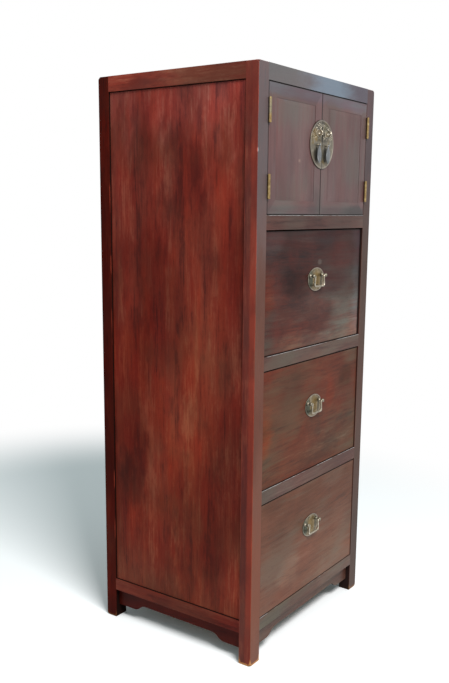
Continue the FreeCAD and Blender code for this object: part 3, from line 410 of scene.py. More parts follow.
def finished_wood(node, grain, palette, seed, streaks=0.9, figure=0.15, mottle=0.55, gloss=0.08,
                  dullness=0.42, wear=0.0, patches=0.46, upper=0.0, band=0.0, foot=0.0, open_faces="",
                  face_cast=None, face_marks=(), ends=None, clouds=0.5, stains=(), rim=0.0,
                  mitred=False, fineness=1.0, patchiness=0.0, unevenness=1.0):
    material, tree, place = new_material("wood_" + node)
    shift = (seed * 1.37, seed * 2.11, seed * 3.73)

    def laid_along(axis):
        made = put(tree, "ShaderNodeMapping", {"Vector": place, "Rotation": ALONG[axis]})
        return vector_sum("ADD", made, shift)

    low, high = (tuple(corner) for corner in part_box(node))
    fibres = laid_along(grain)
    if mitred:
        fibres = mitred_fibres(place, low, high, fibres, laid_along("x"))
    colours = zip(("Dark", "Middle", "Light", "Amber", "Bloom"), PALETTES[palette])
    wood = use_group(tree, lacquer_group, {
        "Grain": fibres, "Place": vector_sum("ADD", place, shift),
        "Streaks": streaks, "Figure": figure, "Mottle": mottle, "Clouds": clouds,
        "Fineness": fineness, "Patchiness": patchiness, "Unevenness": unevenness,
        **{name: (*colour, 1) for name, colour in colours},
    })
    worn = use_group(tree, wear_and_shade_group, {
        "Place": place, "Low": low, "High": high, "Width": wear * MM, "Patches": patches,
        "Upper only": upper,
        "Closed low": [0 if "-" + axis in open_faces else COVERED for axis in "xyz"],
        "Closed high": [0 if "+" + axis in open_faces else COVERED for axis in "xyz"],
    })

    def overlaid(colour, mask, strength, over):
        return tint(times(worn[mask], strength), colour, over) if strength else colour

    # A rubbed band beside the front edges, partly a painted highlight
    colour = overlaid(wood["Colour"], "Band", band, RUBBED_AND_LIT_RED)
    drift = times_plus(noise(fibres, (14, 14, 5), 4.0, 0.6), 2.4, -1.2)
    # The front face's painted reflection of the room and its painted shade
    if face_cast:
        colour = front_sheen_and_shade(place, low, colour, drift, face_cast, face_marks)
    if ends:
        height = ease(split(place)["Z"], low[2], high[2])
        colour = tint(1.0, colour, tint(height, *((*end, 1) for end in ends)), "MULTIPLY")
    colour = marked(place, colour, drift, stains, "MULTIPLY")
    # Painted shade along the edges, where the gaps between pieces fall dark
    colour = overlaid(colour, "Rim", rim, GAP_SHADE)
    # Rubbed edges, partly painted highlights on the lit arrises
    colour = overlaid(colour, "Mask", 0.8 if wear else 0, RUBBED_AND_LIT_FRONT if upper else RUBBED_AND_LIT_RED)
    colour = overlaid(colour, "Foot", foot, BARE_WOOD)
    # Painted shade on the faces that lie in gaps and recesses
    colour = overlaid(colour, "Dirt", 0.93 if open_faces else 0, GAP_SHADE)
    rough = times_plus(minus(wood["Dullness"], 0.5), 0.35, dullness)
    if open_faces:
        rough = times_plus(worn["Dirt"], 0.5, rough)
    rough = times_plus(worn["Mask"], 0.12, rough)
    finish_surface(tree, colour, rough, wood["Height"], 0.22, 0.4 * MM,
                   {"Specular IOR Level": gloss, "IOR": 1.45})
    return material


def dress(node, material):
    mesh = nodes[node].data
    mesh.materials.clear()
    mesh.materials.append(material)


# What the colour is multiplied by at a piece's lower and upper end
FLANK_ENDS = ((1.06, 1.00, 0.86), (1.06, 1.05, 1.10))
# Soft stains that multiply the colour: a hazy top and foot, deep red at the back, amber in the middle
FLANK_STAINS = blots((
    (0, 1.500, FAR, 0.190, (1.60, 2.05, 2.45), 0.9, 0.2),
    (0, 0.110, FAR, 0.130, (1.15, 1.50, 1.55), 0.8, 0.2),
    (0.160, 0.680, 0.150, 0.500, (0.86, 0.58, 0.45), 0.9, 0.2),
    (-0.050, 0.620, 0.130, 0.620, (1.38, 1.52, 1.32), 0.8, 0.2),
    (0.190, 0.440, 0.060, 0.090, (0.66, 0.80, 0.70), 0.8, 0.2),
    (-0.190, 0.260, 0.060, 0.130, (1.40, 1.60, 1.60), 0.8, 0.2),
), across="y")
# The haze of the cabinet's upper side rails
TOP_STAINS = blots([(0, 1.504, FAR, 0.100, (1.35, 1.90, 2.00))])
# A dark foot and a bluish top that is a painted reflection, with darker corners and a small pale scuff
DOOR_STAINS_AND_SHEEN = blots((
    (0, 0, FAR, 0.026, (0.70, 0.86, 0.88), 0.8, 0.5),
    (0.250, 0.006, 0.150, 0.030, (0.42, 0.52, 0.52)),
    # A painted reflection along the top of the doors
    (0, 0.306, FAR, 0.030, (0.98, 1.42, 1.85), 0.85, 0.4),
    (-0.030, 0.028, 0.050, 0.050, (0.70, 0.72, 0.74)),
    (0.250, 0.128, 0.060, 0.150, (0.82, 0.86, 0.86), 0.7),
    (-0.112, 0.134, 0.008, 0.006, (1.90, 2.20, 1.90), 1.0),
), foot=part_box("door_left_frame")[0].z)
# Deeper and redder stretches of the left front post, and a chip on its arris
POST_STAINS = [
    *blots((
        (0, 0.200, FAR, 0.320, (1.22, 1.00, 0.82)),
        (0, 0.640, FAR, 0.120, (0.86, 0.78, 0.70)),
        (FRONT, 1.000, 0.004, 0.170, (0.78, 0.82, 0.84)),
    ), across="y"),
    ((post_low.x + 0.5 * MM, FRONT + 0.5 * MM, 1.322), (0.004, 0.004, 0.007), (2.50, 3.50, 3.50), 1.0),
]
# The front faces' painted reflection and shade: the axis it changes along, where it starts and ends, and its
# two colours
POST_FRONT_SHEEN = ("z", 0.85, 1.30, (0.180, 0.070, 0.042), (0.085, 0.088, 0.092))
POST_FRONT_SHEEN_MARKS = blots([(0, 0.780, FAR, 0.340, (0.108, 0.042, 0.026), 0.75)])
FAR_POST_FRONT_SHEEN = ("z", 1.00, 1.45, (0.041, 0.031, 0.020), (0.052, 0.052, 0.060))
TOP_FRONT_SHEEN = ("x", -0.20, 0.26, (0.072, 0.078, 0.080), (0.034, 0.033, 0.060))
# A painted reflection of the sky, pale blue, on the front top rail
TOP_SKY_REFLECTION = blots([(0.045, 1.504, 0.150, 0.060, (0.135, 0.225, 0.300), 0.75, 0.2)])

# Looks that several pieces share
RAIL = {"gloss": 0.2, "wear": 0.9, "patches": 0.45, "upper": 1.0, "open_faces": "-y",
        "mottle": 0.6, "clouds": 0.8, "unevenness": 0.7}
INNER = {"unevenness": 0.35, "clouds": 0.4}
DOOR = {"gloss": 0.45, "figure": 0.05, "mottle": 0.6, "clouds": 0.7, "unevenness": 0.55,
        "stains": DOOR_STAINS_AND_SHEEN}
DRAWER = {"figure": 0.12, "open_faces": "-y+y", "clouds": 0.75, "fineness": 0.6, "patchiness": 0.75,
          "rim": 0.85}
# Each drawer front's palette, its own look, and its marks above its lower edge: bluish haze that is a
# painted reflection, dark blots, red patches and the painted shade of the gap at the right. The ends,
# lighter at the bottom and darker at the top, paint a reflection too
DRAWER_LOOKS = {
    1: ("dusky", {"gloss": 0.08, "mottle": 0.55, "streaks": 0.65, "unevenness": 0.8,
                  "ends": ((1.50, 1.80, 1.70), (0.68, 0.74, 0.80))}, (
        (0.270, 0.030, 0.480, 0.160, (1.50, 1.95, 2.00), 1.0, 0.2),
        (0, 0, FAR, 0.060, (1.15, 1.35, 1.30), 1.0),
        (0.262, 0.110, 0.060, 0.220, (1.20, 1.50, 1.70), 1.0),
        (-0.115, 0.165, 0.100, 0.050, (0.42, 0.38, 0.38)),
        (0.115, 0.165, 0.110, 0.050, (0.76, 0.54, 0.56)),
        (-0.120, 0.030, 0.080, 0.060, (1.55, 1.55, 1.40)),
        (-0.250, 0.150, 0.060, 0.080, (1.70, 1.10, 0.80)),
        (0.150, 0.242, 0.150, 0.050, (1.22, 0.74, 0.72)),
        (-0.240, 0.295, 0.110, 0.050, (1.90, 2.00, 2.10)),
        (0.060, 0.290, 0.080, 0.050, (0.66, 0.74, 0.86)),
        (0.245, 0.290, 0.050, 0.050, (1.35, 1.50, 1.75)),
        (0.020, 0.224, 0.014, 0.009, (2.00, 2.80, 2.80), 1.0),
        # The painted shade of the gap at the right edge
        (0.266, 0, 0.010, FAR, (0.05, 0.05, 0.05), 0.9, 0.9),
    )),
    2: ("brown", {"gloss": 0.07, "mottle": 0.55, "streaks": 0.65, "unevenness": 0.7,
                  "ends": ((1.02, 1.10, 1.02), (0.98, 0.92, 0.86))}, (
        (-0.260, 0.145, 0.070, 0.090, (1.75, 1.05, 0.75), 1.0),
        (0.120, 0.090, 0.190, 0.110, (0.92, 1.28, 1.40)),
        (0.040, 0.110, 0.040, 0.050, (0.72, 0.90, 1.00), 0.8),
        (0.190, 0.235, 0.060, 0.050, (0.66, 0.74, 0.64)),
        (0.100, 0.200, 0.035, 0.055, (1.30, 0.90, 0.72), 0.8),
        (0.215, 0.295, 0.070, 0.035, (1.30, 1.60, 1.65)),
        (-0.120, 0.250, 0.090, 0.080, (0.78, 0.76, 0.78), 0.8),
        # The painted shade of the gap at the right edge
        (0.268, 0, 0.007, FAR, (0.08, 0.08, 0.08), 0.8, 0.9),
    )),
    3: ("olive", {"gloss": 0.10, "mottle": 0.30, "streaks": 0.45, "unevenness": 0.3,
                  "ends": ((1.42, 1.52, 1.60), (0.98, 1.00, 0.98))}, (
        (0.060, 0.050, 0.300, 0.090, (1.12, 1.15, 1.12), 0.8, 0.2),
        (-0.110, 0.075, 0.090, 0.080, (1.20, 1.50, 1.60)),
        (-0.200, 0.290, 0.150, 0.045, (0.74, 0.70, 0.68)),
        (0.130, 0.290, 0.100, 0.045, (1.12, 1.42, 1.60)),
        (0.190, 0.170, 0.080, 0.080, (1.12, 1.25, 1.30)),
        # The painted shade of the gap at the right edge
        (0.269, 0, 0.005, FAR, (0.10, 0.10, 0.10), 0.8, 0.9),
    )),
}
# Each piece's turn gives it a run of figure of its own
turns = itertools.count(1)


def lacquer(node, grain, palette, **look):
    dress(node, finished_wood(node, grain, palette, next(turns), **look))


lacquer("post_front_left", "z", "post", open_faces="-x-y+z", band=0.6, foot=0.8, wear=1.1, patches=0.50,
        face_cast=POST_FRONT_SHEEN, face_marks=POST_FRONT_SHEEN_MARKS, gloss=0.2, stains=POST_STAINS)
lacquer("post_front_right", "z", "post", open_faces="+x-y+z", band=0.5, foot=0.3,
        face_cast=FAR_POST_FRONT_SHEEN, gloss=0.2)
for side, out in OUTWARDS.items():
    lacquer(f"post_rear_{side}", "z", "rear", open_faces=out + "+y+z", foot=0.15, wear=1.6,
            patches=0.6, gloss=0.03)
lacquer("front_top_rail", "x", "door", gloss=0.5, dullness=0.34, open_faces="-y+z",
        face_cast=TOP_FRONT_SHEEN, face_marks=TOP_SKY_REFLECTION)
lacquer("front_rail_upper", "x", "rail", **{**RAIL, "wear": 1.0})
for level in ("middle", "lower"):
    lacquer(f"front_rail_{level}", "x", "low_rail", **RAIL)
lacquer("front_bottom_rail", "x", "apron", **{**RAIL, "patches": 0.6})
lacquer("side_top_rail_left", "y", "flank", mottle=0.8, open_faces="-x+z", stains=TOP_STAINS)
lacquer("side_top_rail_right", "y", "flank", open_faces="+x+z", stains=TOP_STAINS)
for side, out in OUTWARDS.items():
    lacquer(f"side_bottom_rail_{side}", "y", "flank", mottle=0.9, open_faces=out)
lacquer("rear_top_rail", "x", "flank", open_faces="+y+z")
lacquer("rear_bottom_rail", "x", "flank", open_faces="+y")
lacquer("front_apron", "x", "apron", gloss=0.2, open_faces="-y", unevenness=0.6)
for side, out in OUTWARDS.items():
    lacquer(f"side_apron_{side}", "y", "rear", open_faces=out)
for side in SIDES:
    lacquer(f"side_panel_{side}", "z", "flank", streaks=1.2, mottle=0.85, clouds=0.4, ends=FLANK_ENDS,
            stains=FLANK_STAINS)
lacquer("back_panel", "z", "bare", streaks=1.1, unevenness=0.6)
lacquer("top_panel", "x", "post")
lacquer("cupboard_floor", "x", "inner", **INNER)
lacquer("bottom_board", "x", "inner", **INNER)
for side in SIDES:
    lacquer(f"drawer_runners_{side}", "y", "inner", **INNER)
for side in SIDES:
    lacquer(f"door_{side}_frame", "z", "door", mitred=True, open_faces="-y+y", streaks=0.8, rim=0.75,
            **DOOR)
    lacquer(f"door_{side}_panel", "z", "door", streaks=1.1, **DOOR)
for number, (palette, own_look, stains) in DRAWER_LOOKS.items():
    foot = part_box(f"drawer_{number}_front")[0].z
    lacquer(f"drawer_{number}_front", "x", palette, stains=blots(stains, foot), **DRAWER, **own_look)
    lacquer(f"drawer_{number}_box", "y", "inner", **INNER)
    lacquer(f"drawer_{number}_bottom", "x", "inner", **INNER)


# Brass finish: base metal, a lighter rub, a dark tarnish and a cast of verdigris
BRASSES = {
    "plate": ((0.190, 0.168, 0.128), (0.36, 0.33, 0.26), (0.060, 0.052, 0.036), (0.230, 0.160, 0.050)),
    "handle": ((0.185, 0.142, 0.080), (0.38, 0.32, 0.22), (0.045, 0.038, 0.022), (0.080, 0.078, 0.042)),
    "bar": ((0.380, 0.335, 0.260), (0.70, 0.64, 0.54), (0.080, 0.070, 0.048), (0.110, 0.130, 0.090)),
    "dull": ((0.230, 0.205, 0.155), (0.46, 0.42, 0.34), (0.060, 0.052, 0.036), (0.080, 0.095, 0.065)),
    "leaf": ((0.185, 0.195, 0.205), (0.33, 0.34, 0.35), (0.065, 0.065, 0.060), (0.100, 0.130, 0.130)),
    "hinge": ((0.280, 0.188, 0.076), (0.56, 0.44, 0.21), (0.050, 0.032, 0.016), (0.110, 0.084, 0.044)),
    "steel": ((0.240, 0.230, 0.210), (0.42, 0.41, 0.39), (0.070, 0.062, 0.050), (0.130, 0.110, 0.080)),
}


def aged_brass(name, metal, marks=(), dullness=0.36):
    base, rub, tarnish, green = ((*colour, 1) for colour in BRASSES[metal])
    material, tree, place = new_material(name)
    cloud = noise(place, (85, 85, 85), 4.0, 0.6)
    patch = noise(place, (38, 38, 38), 3.0, 0.55, (4.0, 1.0, 2.0))
    specks = noise(place, (620, 620, 620), 3.0, 0.6)
    scratch = noise(place, (90, 900, 1400), 2.0, 0.5)
    colour = tint(ease(cloud, 0.5, 0.78), base, rub)
    colour = tint(ease(patch, 0.52, 0.72, 0, 0.8), colour, green)
    colour = tint(ease(specks, 0.56, 0.72, 0, 0.7), colour, tarnish)
    colour = tint(ease(cloud, 0.24, 0.44, 0.75, 0), colour, tarnish)
    colour = marked(place, colour, minus(cloud, 0.5), marks)
    rough = weighted([(cloud, -0.25), (specks, 0.3), (scratch, 0.12)], dullness)
    height = weighted([(specks, 0.8), (scratch, 0.35), (cloud, 0.6)])
    finish_surface(tree, colour, rough, height, 0.25, 0.3 * MM, {"Metallic": 0.92})
    return material


GRIME_AND_SHADE, GREEN = (0.022, 0.019, 0.013), (0.050, 0.068, 0.048)
# Old gold of rubbed brass, and the pale painted highlight of the plates' rolled rims
OLD_GOLD, PALE_RIM_HIGHLIGHT = (0.26, 0.165, 0.045), (0.42, 0.36, 0.31)
# From the plate's middle: grime between the bosses, gold beside them, the painted shadows under the drops,
# the rim's painted highlight, the painted shade along its outer edge, and the seam
ROUND_MARKS = blots((
    (0, 0.037, 0.052, 0.034, GRIME_AND_SHADE, 0.55, 0.85, 1.05),
    (-0.036, 0.023, 0.013, 0.017, OLD_GOLD, 0.75, 0.5, 1.3),
    # Painted shadows under the leaf drops
    (-EYE_X, -0.026, 0.012, 0.025, GRIME_AND_SHADE, 0.80, 0.6, 1.2),
    (EYE_X, -0.026, 0.012, 0.025, GRIME_AND_SHADE, 0.80, 0.6, 1.2),
    (0, 0, PLATE_RADIUS, PLATE_RADIUS, PALE_RIM_HIGHLIGHT, 0.40, 0.94, 0.90),
    # Painted shade along the plate's outer edge
    (0, 0, PLATE_RADIUS, PLATE_RADIUS, GRIME_AND_SHADE, 0.85, 0.992, 0.975),
    (0, 0.027, 0.0034, 0.040, GRIME_AND_SHADE, 0.92, 0.6),
    (0, 0, 0.0016, FAR, GRIME_AND_SHADE, 0.90, 0.5),
), foot=PLATE_Z)
# Darker metal about the roots of the knuckles, and a stretch of one hinge that has lost its gold
HINGE_MARKS = [
    ((0, FRONT - 0.3 * MM, 0), (FAR, 0.0034, FAR), GRIME_AND_SHADE, 0.80, 0.7),
    ((-0.27, 0, 1.425), (0.02, FAR, 0.026), (0.30, 0.28, 0.20), 0.55, 0.5),
]


def oval_marks(number):
    """The painted highlight of a handle plate's rolled rim, painted shade along its outer edge, verdigris at
    its left, its brown middle and a painted shadow of the bail's arm beside the right post.
    """
    low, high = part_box(f"drawer_{number}_handle_plate")
    return blots((
        (0, 0, 0.0445, 0.032, PALE_RIM_HIGHLIGHT, 0.50, 0.93, 0.85),
        # Painted shade along the plate's outer edge
        (0, 0, 0.0445, 0.032, GRIME_AND_SHADE, 0.85, 0.995, 0.970),
        (-0.030, 0, 0.014, 0.026, GREEN, 0.75, 0.6, 1.2),
        (0.004, 0, 0.022, 0.026, OLD_GOLD, 0.70, 0.5, 1.2),
        # A painted shadow of the bail's right arm
        (0.026, -0.002, 0.006, 0.020, GRIME_AND_SHADE, 0.60, 0.6, 1.3),
    ), foot=(low.z + high.z) / 2)


brass = {
    "bar": aged_brass("bar_brass", "bar"),
    "leaf": aged_brass("leaf_brass", "leaf"),
    "steel": aged_brass("steel", "steel"),
    "plate": aged_brass("plate_brass", "plate", ROUND_MARKS),
    "hinge": aged_brass("hinge_brass", "hinge", HINGE_MARKS),
    "boss": aged_brass("boss_brass", "bar"),
    "post": aged_brass("post_brass", "dull", dullness=0.46),
    **{number: aged_brass(f"handle_brass_{number}", "handle", oval_marks(number)) for number in DRAWERS},
}


# Mesh tools
SOFT_ANGLE = radians(34)


def piece(name, meshes, material, body, stands_for=()):
    """One object from several (points, faces) meshes."""
    work = bmesh.new()
    for points, faces in meshes:
        made = [work.verts.new(point) for point in points]
        for face in faces:
            corners = [made[index] for index in face]
            if len(set(corners)) > 2:
                work.faces.new(corners)
    bmesh.ops.remove_doubles(work, verts=work.verts[:], dist=1e-6)
    bmesh.ops.dissolve_degenerate(work, edges=work.edges[:], dist=1e-7)
    bmesh.ops.recalc_face_normals(work, faces=work.faces[:])
    mesh = bpy.data.meshes.new(name)
    work.to_mesh(mesh)
    work.free()
    mesh.materials.append(material)
    mesh.polygons.foreach_set("use_smooth", [True] * len(mesh.polygons))
    mesh.set_sharp_from_angle(angle=SOFT_ANGLE)
    settle(add_object(name, mesh), body, stands_for)


def settle(made, body, stands_for=()):
    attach(made, body)
    if stands_for:
        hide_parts(*stands_for)


def skin(rings, closed_ring=True, closed_row=False):
    """Faces between rings of equal length."""
    count = len(rings[0])
    points = [point for ring in rings for point in ring]
    faces = []
    rows = len(rings) if closed_row else len(rings) - 1
    columns = count if closed_ring else count - 1
    for row in range(rows):
        below, above = row * count, (row + 1) % len(rings) * count
        for column in range(columns):
            following = (column + 1) % count
            faces.append((below + column, below + following, above + following, above + column))
    return points, faces


def circle(sides):
    return [2 * pi * step / sides for step in range(sides)]


def capped(rings):
    """A skin that is closed at both ends."""
    points, faces = skin(rings)
    count = len(rings[0])
    for start, ring in ((0, rings[0]), (len(points) - count, rings[-1])):
        middle = sum((Vector(point) for point in ring), Vector()) / count
        points.append(middle)
        faces += [(start + i, start + (i + 1) % count, len(points) - 1) for i in range(count)]
    return points, faces


def turned(centre, profile, along="y", sides=40):
    """A form turned about Y or Z: profile is a row of (distance along the axis, radius)."""
    rings = []
    for far, radius in profile:
        ring = []
        for angle in circle(sides):
            across, up = radius * cos(angle), radius * sin(angle)
            way = (across, far, up) if along == "y" else (across, up, far)
            ring.append(Vector(centre) + Vector(way))
        rings.append(ring)
    return capped(rings)


def swept(path, radii, sides=16):
    """A round bar along a path, with a frame that doesn't twist."""
    rings = []
    square = None
    for index, point in enumerate(path):
        ahead = path[min(index + 1, len(path) - 1)] - path[max(index - 1, 0)]
        ahead.normalize()
        if square is None:
            square = ahead.orthogonal().normalized()
        square = (square - ahead * square.dot(ahead)).normalized()
        other = ahead.cross(square)
        rings.append([point + (square * cos(a) + other * sin(a)) * radii[index]
                      for a in circle(sides)])
    return capped(rings)


def slab(grid, back):
    """A front surface of points, closed by walls to a flat back at Y."""
    count = len(grid[0])
    points, faces = skin(grid, closed_ring=False)
    offset = len(points)
    flat = [Vector((point[0], back, point[2])) for point in points]
    faces += [tuple(index + offset for index in reversed(face)) for face in faces]
    last = (len(grid) - 1) * count
    edge = list(range(count)) + [count * row + count - 1 for row in range(1, len(grid))]
    edge += [last + column for column in range(count - 2, -1, -1)]
    edge += [count * row for row in range(len(grid) - 2, 0, -1)]
    for here, there in zip(edge, edge[1:] + edge[:1]):
        faces.append((here, there, there + offset, here + offset))
    return points + flat, faces


def bored_lug(centre, hole, outline, half_width, chamfer, sides=48):
    """A lug bored along X, with chamfered rims. outline gives its radius at an angle."""
    bevel = chamfer * 0.7
    rings = []
    for angle in circle(sides):
        away = Vector((0, cos(angle), sin(angle)))
        far = outline(angle)
        half = [(far, half_width - chamfer), (far - chamfer, half_width), (hole + bevel, half_width),
                (hole, half_width - bevel)]
        section = [(reach, -across) for reach, across in half] + half[::-1]
        rings.append([Vector(centre) + away * reach + Vector((across, 0, 0)) for reach, across in section])
    return skin(rings, closed_row=True)


def bow(start, end, radius, steps):
    """Points along the arc of this radius from start to end, in a plane."""
    start, end = Vector(start), Vector(end)
    chord = end - start
    square = Vector((-chord.y, chord.x)).normalized()
    centre = (start + end) / 2 - square * sqrt(radius ** 2 - (chord.length / 2) ** 2)
    first, last = (atan2(*(p - centre).yx) for p in (start, end))
    sweep = (last - first + pi) % (2 * pi) - pi
    return [centre + Vector((cos(a), sin(a))) * radius
            for a in (first + sweep * step / steps for step in range(steps + 1))]


# Drawer handles
HANDLE = {
    "plate": 1.6 * MM, "rim": 0.9 * MM, "post_x": 32 * MM, "ball": 5 * MM, "neck": 3.3 * MM,
    "nut": 5.2 * MM, "nut_start": 22 * MM,
}
# The bail's sizes, and its right half from the pin's end to the arm, as (X, Z, radius), in millimetres
ARM, FLARE, DROP, BEND = 23.5, 2.2, 28, 5
PIN_AND_ARM = [
    (35.4, 0, 1.3), (35.1, 0, 1.6), (31, 0, 1.6), (26.8, 0, 1.6), (26.4, 0, 2.6), (25.5, -0.3, 2.95),
    (24.3, -1.4, 2.9), (ARM, -3.4, 2.7), (ARM + FLARE * 0.25, -8, 2.35), (ARM + FLARE * 0.6, -14, 2.3),
]
# A post as (distance behind the plate's foot, radius), in millimetres, and its nut as (distance,
# share of its radius)
POST_PROFILE = [
    (28.0, 0.0), (28.0, 1.7), (27.5, 2.2), (-1.5, 2.2), (-1.5, 5.6), (-1.8, 6.0), (-2.6, 6.0), (-2.9, 5.7),
    (-3.0, 5.0), (-3.3, 4.5), (-3.9, 4.2), (-4.5, 3.4), (-5.3, 2.9), (-6.4, 2.7), (-7.4, 2.8), (-7.9, 3.2),
]
NUT_PROFILE = ((0.0, 0.86), (0.5, 1.0), (3.0, 1.0), (3.5, 0.86))


# The shares of their radius at which the plates' rolled rims start
OVAL_RIM, ROUND_RIM = 0.9, 0.925


def rolled(share, start):
    """The height of a rolled rim at a share of the radius, as a share of its greatest."""
    half = (1 - start) / 2
    roll = (share - start) / half - 1
    return sqrt(max(1 - roll * roll, 0))


def plate_height(share):
    """How far a handle plate stands out at a share of its radius: a low dome inside a rolled rim."""
    if share > OVAL_RIM:
        return HANDLE["plate"] * 0.55 + HANDLE["rim"] * rolled(share, OVAL_RIM)
    dome = cos(share / OVAL_RIM * pi / 2)
    return HANDLE["plate"] * (0.62 + 0.5 * dome ** 0.8)


def handle_plate(number):
    low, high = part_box(f"drawer_{number}_handle_plate")
    middle = (low + high) / 2
    half_x, half_z = (high.x - low.x) / 2, (high.z - low.z) / 2
    shares = [0.02] + [OVAL_RIM * step / 12 for step in range(1, 13)]
    shares += [OVAL_RIM + (1 - OVAL_RIM) * step / 10 for step in range(1, 11)]
    rings = []
    for share in shares:
        rings.append([(middle.x + half_x * share * cos(angle), high.y - plate_height(share),
                       middle.z + half_z * share * sin(angle)) for angle in circle(72)])
    rings.append([(x, high.y, z) for x, _, z in rings[-1]])
    rings.append([(middle.x + (x - middle.x) * 0.02, high.y, middle.z + (z - middle.z) * 0.02)
                  for x, _, z in rings[-1]])
    piece(f"drawer_{number}_oval_plate", [capped(rings)], brass[number], f"drawer_{number}",
          stands_for=[f"drawer_{number}_handle_plate"])


def joint_place(name):
    return [Vector(joint["pos_m"]) for joint in frame["joints"] if joint["name"] == name][0]


def bail_posts(number):
    face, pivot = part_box(f"drawer_{number}_handle_plate")[1].y, joint_place(f"bail_{number}_swing")
    ball, head_y = HANDLE["ball"], pivot.y - face
    start = asin(HANDLE["neck"] / ball)
    profile = [(far * MM, radius * MM) for far, radius in POST_PROFILE]
    for step in range(13):
        angle = start + (pi - start) * step / 12
        profile.append((head_y + ball * cos(angle), ball * sin(angle)))
    meshes = []
    for side in SIDES.values():
        foot = Vector((HANDLE["post_x"] * side, face, pivot.z))
        nut_start = foot + Vector((0, HANDLE["nut_start"], 0))
        nut = []
        for far, share in NUT_PROFILE:
            reach = HANDLE["nut"] * share
            nut.append([nut_start + Vector((reach * cos(a), far * MM, reach * sin(a)))
                        for a in circle(6)])
        meshes += [turned(foot, profile), capped(nut)]
    piece(f"drawer_{number}_turned_posts", meshes, brass["post"], f"drawer_{number}",
          stands_for=[f"drawer_{number}_bail_posts"])


def bail(number):
    pivot = joint_place(f"bail_{number}_swing")
    half = list(PIN_AND_ARM)
    for step in range(9):
        angle = pi / 2 * step / 8
        half.append((ARM + FLARE - BEND + BEND * cos(angle), BEND - DROP - BEND * sin(angle),
                     2.5 + 0.05 * step))
    half += [(9, -DROP, 2.95), (4, -DROP, 3.0)]
    whole = half + [(-x, z, radius) for x, z, radius in reversed(half)]
    path = [pivot + Vector((x, 0, z)) * MM for x, z, _ in whole]
    piece(f"bail_{number}_bar", [swept(path, [radius * MM for _, _, radius in whole], 20)],
          brass["bar"], f"bail_{number}", stands_for=[f"drawer_{number}_bail"])


for number in DRAWERS:
    handle_plate(number)
    bail_posts(number)
    bail(number)


# Round plate, lock eyes and leaf drops
RIM_FOOT, RIM_HEIGHT, DOME_FALL, GROOVE_DEPTH = 1.5 * MM, 1.2 * MM, 0.5 * MM, 0.35 * MM
# The groove's middle and half width, as shares of the plate's radius
GROOVE, GROOVE_HALF = 0.875, 0.014


def round_plate_height(share):
    """How far the plate stands out at a share of its radius: a dome with a groove, inside a rolled rim."""
    if share > ROUND_RIM:
        return RIM_FOOT + RIM_HEIGHT * rolled(share, ROUND_RIM)
    groove = exp(-((share - GROOVE) / GROOVE_HALF) ** 2) * GROOVE_DEPTH
    return PLATE_RISE - DOME_FALL * share ** 3 - groove


def round_plate(side_name, side):
    shares = [PLATE_SEAM / PLATE_RADIUS * 1.008, 0.1, 0.2, 0.3, 0.4, 0.5, 0.6, 0.7, 0.78, 0.84]
    shares += [GROOVE + away for away in (-0.02, -0.01, 0, 0.01, 0.02)] + [0.91, ROUND_RIM]
    shares += [(1 + ROUND_RIM - (1 - ROUND_RIM) * cos(pi * step / 10)) / 2 for step in range(1, 11)]
    grid = []
    for share in shares:
        reach = PLATE_RADIUS * share
        widest = acos(min(PLATE_SEAM / reach, 1))
        row = []
        for step in range(49):
            angle = widest * (step / 24 - 1)
            row.append((side * reach * cos(angle), FRONT - round_plate_height(share),
                        PLATE_Z + reach * sin(angle)))
        grid.append(row)
    piece(f"round_plate_{side_name}", [slab(grid, FRONT)], brass["plate"],
          f"door_{side_name}", stands_for=[f"lock_plate_{side_name}"])


# The lock eye's bore and tail, and its collar as (distance before the plate, radius), in millimetres
EYE_BORE, TAIL_RADIUS, TAIL_ENDS = 3.0, 2.0, (-3, 14)
COLLAR_PROFILE = ((0.2, 0.0), (0.2, 9.4), (-0.3, 9.2), (-0.75, 8.4), (-0.95, 7.2), (-0.95, 0.0))


def lock_eye(side_name, side):
    centre = Vector((EYE_X * side, eye_low.y + EYE_RADIUS, EYE_Z))
    foot_y = FRONT - PLATE_RISE
    back = foot_y + 0.3 * MM - centre.y

    def outline(angle):
        across, up = cos(angle), abs(sin(angle))
        if across <= 0:
            return EYE_RADIUS
        return min(EYE_RADIUS / max(up, 1e-6), back / across)

    lug = bored_lug(centre, EYE_BORE * MM, outline, EYE_HALF_WIDTH, 0.7 * MM, 64)
    tail = turned((centre.x, FRONT, centre.z), [(y * MM, TAIL_RADIUS * MM) for y in TAIL_ENDS])
    collar = turned((centre.x, foot_y, centre.z),
                    [(far * MM, radius * MM) for far, radius in COLLAR_PROFILE], sides=48)
    piece(f"bored_lug_{side_name}", [lug, tail, collar], brass["bar"], f"door_{side_name}",
          stands_for=[f"lock_eye_{side_name}"])


# The leaf's outline from its pivot, in millimetres: a straight neck, then two bows down to its tip
LEAF_NECK = ((2.2, 0), (2.2, -1.6))
LEAF_BOWS = (((2.2, -3.2), (11, -29), 34), ((11, -29), (0, -47), 24))
LEAF_RING = {"hole": 1.4 * MM, "outline": lambda angle: 3.2 * MM, "half_width": 2.2 * MM,
             "chamfer": 0.5 * MM}


